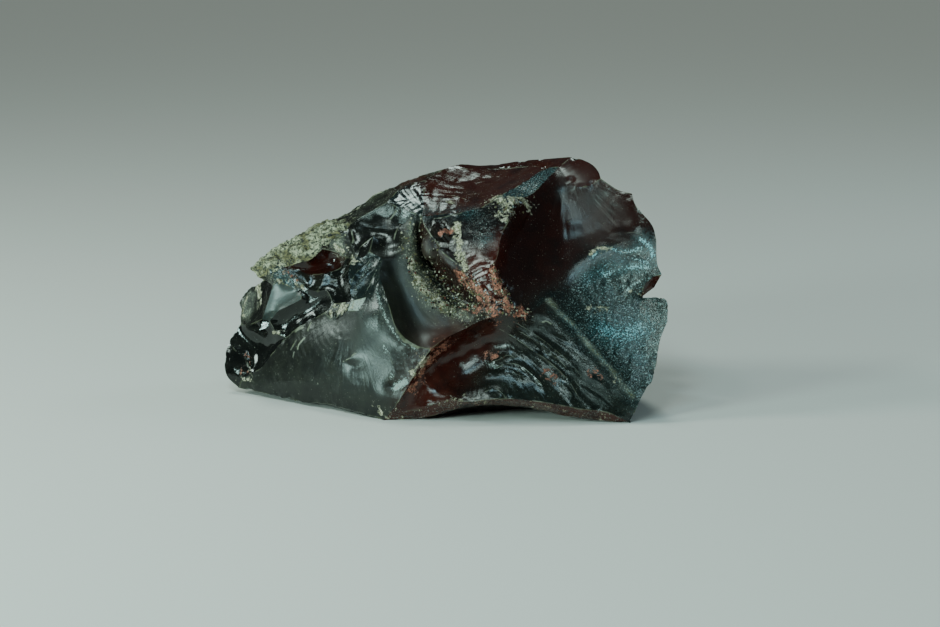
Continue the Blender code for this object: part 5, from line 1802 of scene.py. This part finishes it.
class OBSIDIAN_OT_stage(Operator):
    """Set up the floor, the lights and the camera"""

    bl_idname = "obsidian.stage"
    bl_label = "Set up stage"

    def execute(self, context):
        sizes = context.scene.stage_sizes
        self.lay_floor(context)
        for light in LIGHTS:
            self.hang_light(context, sizes.brightness, *light)
        self.hang_overhead(context, sizes.brightness)
        self.place_camera(context, sizes)
        world = bpy.data.worlds.new("studio_air")
        world.use_nodes = True
        background = world.node_tree.nodes["Background"]
        background.inputs["Color"].default_value = linear(ROOM_COLOUR)
        background.inputs["Strength"].default_value = ROOM_GLOW
        context.scene.world = world
        return {"FINISHED"}

    def lay_floor(self, context):
        """A square of card under the stone."""
        mesh = bpy.data.meshes.new("floor")
        corners = [(x * FLOOR_REACH, y * FLOOR_REACH, 0.0) for x, y in
                   ((-1, -1), (1, -1), (1, 1), (-1, 1))]
        mesh.from_pydata(corners, [], [(0, 1, 2, 3)])
        mesh.materials.append(matt_card(context.scene.glass_colours))
        floor = bpy.data.objects.new("floor", mesh)
        context.scene.collection.objects.link(floor)

    def hang_light(self, context, brightness, name, azimuth, elevation, distance, size, radiance,
                   hex_colour):
        """A rectangular lamp that faces the stone and shines as brightly as its radiance says."""
        light = bpy.data.lights.new(name, "AREA")
        light.shape = "RECTANGLE"
        light.size, light.size_y = size
        light.energy = radiance * math.pi * size[0] * size[1] * brightness
        light.color = linear(hex_colour)[:3]
        lamp = bpy.data.objects.new(name, light)
        aim = heading(azimuth, elevation)
        lamp.location = STONE_MIDDLE + aim * distance
        lamp.rotation_euler = (-aim).to_track_quat("-Z", "Y").to_euler()
        context.scene.collection.objects.link(lamp)

    def hang_overhead(self, context, brightness):
        """The light that draws the stone's shadow towards the camera."""
        light = bpy.data.lights.new("overhead", "SUN")
        light.energy = OVERHEAD["strength"] * brightness
        light.angle = math.radians(OVERHEAD["spread"])
        light.color = linear(OVERHEAD["colour"])[:3]
        lamp = bpy.data.objects.new("overhead", light)
        aim = heading(OVERHEAD["azimuth"], OVERHEAD["elevation"])
        lamp.rotation_euler = (-aim).to_track_quat("-Z", "Y").to_euler()
        lamp.location = aim
        context.scene.collection.objects.link(lamp)

    def place_camera(self, context, sizes):
        """The camera in front of the stone, looking down at it."""
        camera = bpy.data.cameras.new("camera")
        camera.lens = sizes.lens
        camera.sensor_width = 36.0
        eye = bpy.data.objects.new("camera", camera)
        ahead = Vector((0.0, math.cos(sizes.elevation), -math.sin(sizes.elevation)))
        eye.location = CAMERA_AIM - ahead * sizes.distance
        eye.rotation_euler = ahead.to_track_quat("-Z", "Y").to_euler()
        context.scene.collection.objects.link(eye)
        context.scene.camera = eye


class OBSIDIAN_PT_panel(Panel):
    """Lists the steps and their settings"""

    bl_idname = "OBSIDIAN_PT_panel"
    bl_label = "Obsidian chunk"
    bl_space_type = "VIEW_3D"
    bl_region_type = "UI"
    bl_category = "Obsidian"

    def draw(self, context):
        for step in STEPS:
            self.layout.operator(step.bl_idname)
        for group in SETTINGS:
            box = self.layout.box()
            holder = getattr(context.scene, group)
            for name in holder.__annotations__:
                box.prop(holder, name)


STEPS = (OBSIDIAN_OT_stone, OBSIDIAN_OT_crumbs, OBSIDIAN_OT_stage)
SETTINGS = {"glass_colours": GlassColours, "stone_sizes": StoneSizes, "stage_sizes": StageSizes}


def register():
    for kind in (*SETTINGS.values(), *STEPS, OBSIDIAN_PT_panel):
        bpy.utils.register_class(kind)
    for name, kind in SETTINGS.items():
        setattr(bpy.types.Scene, name, PointerProperty(type=kind))


def unregister():
    for name in SETTINGS:
        delattr(bpy.types.Scene, name)
    for kind in (OBSIDIAN_PT_panel, *STEPS, *SETTINGS.values()):
        bpy.utils.unregister_class(kind)


def main():
    register()
    bpy.ops.obsidian.stone()
    bpy.ops.obsidian.crumbs()
    bpy.ops.obsidian.stage()


if __name__ == "__main__":
    main()
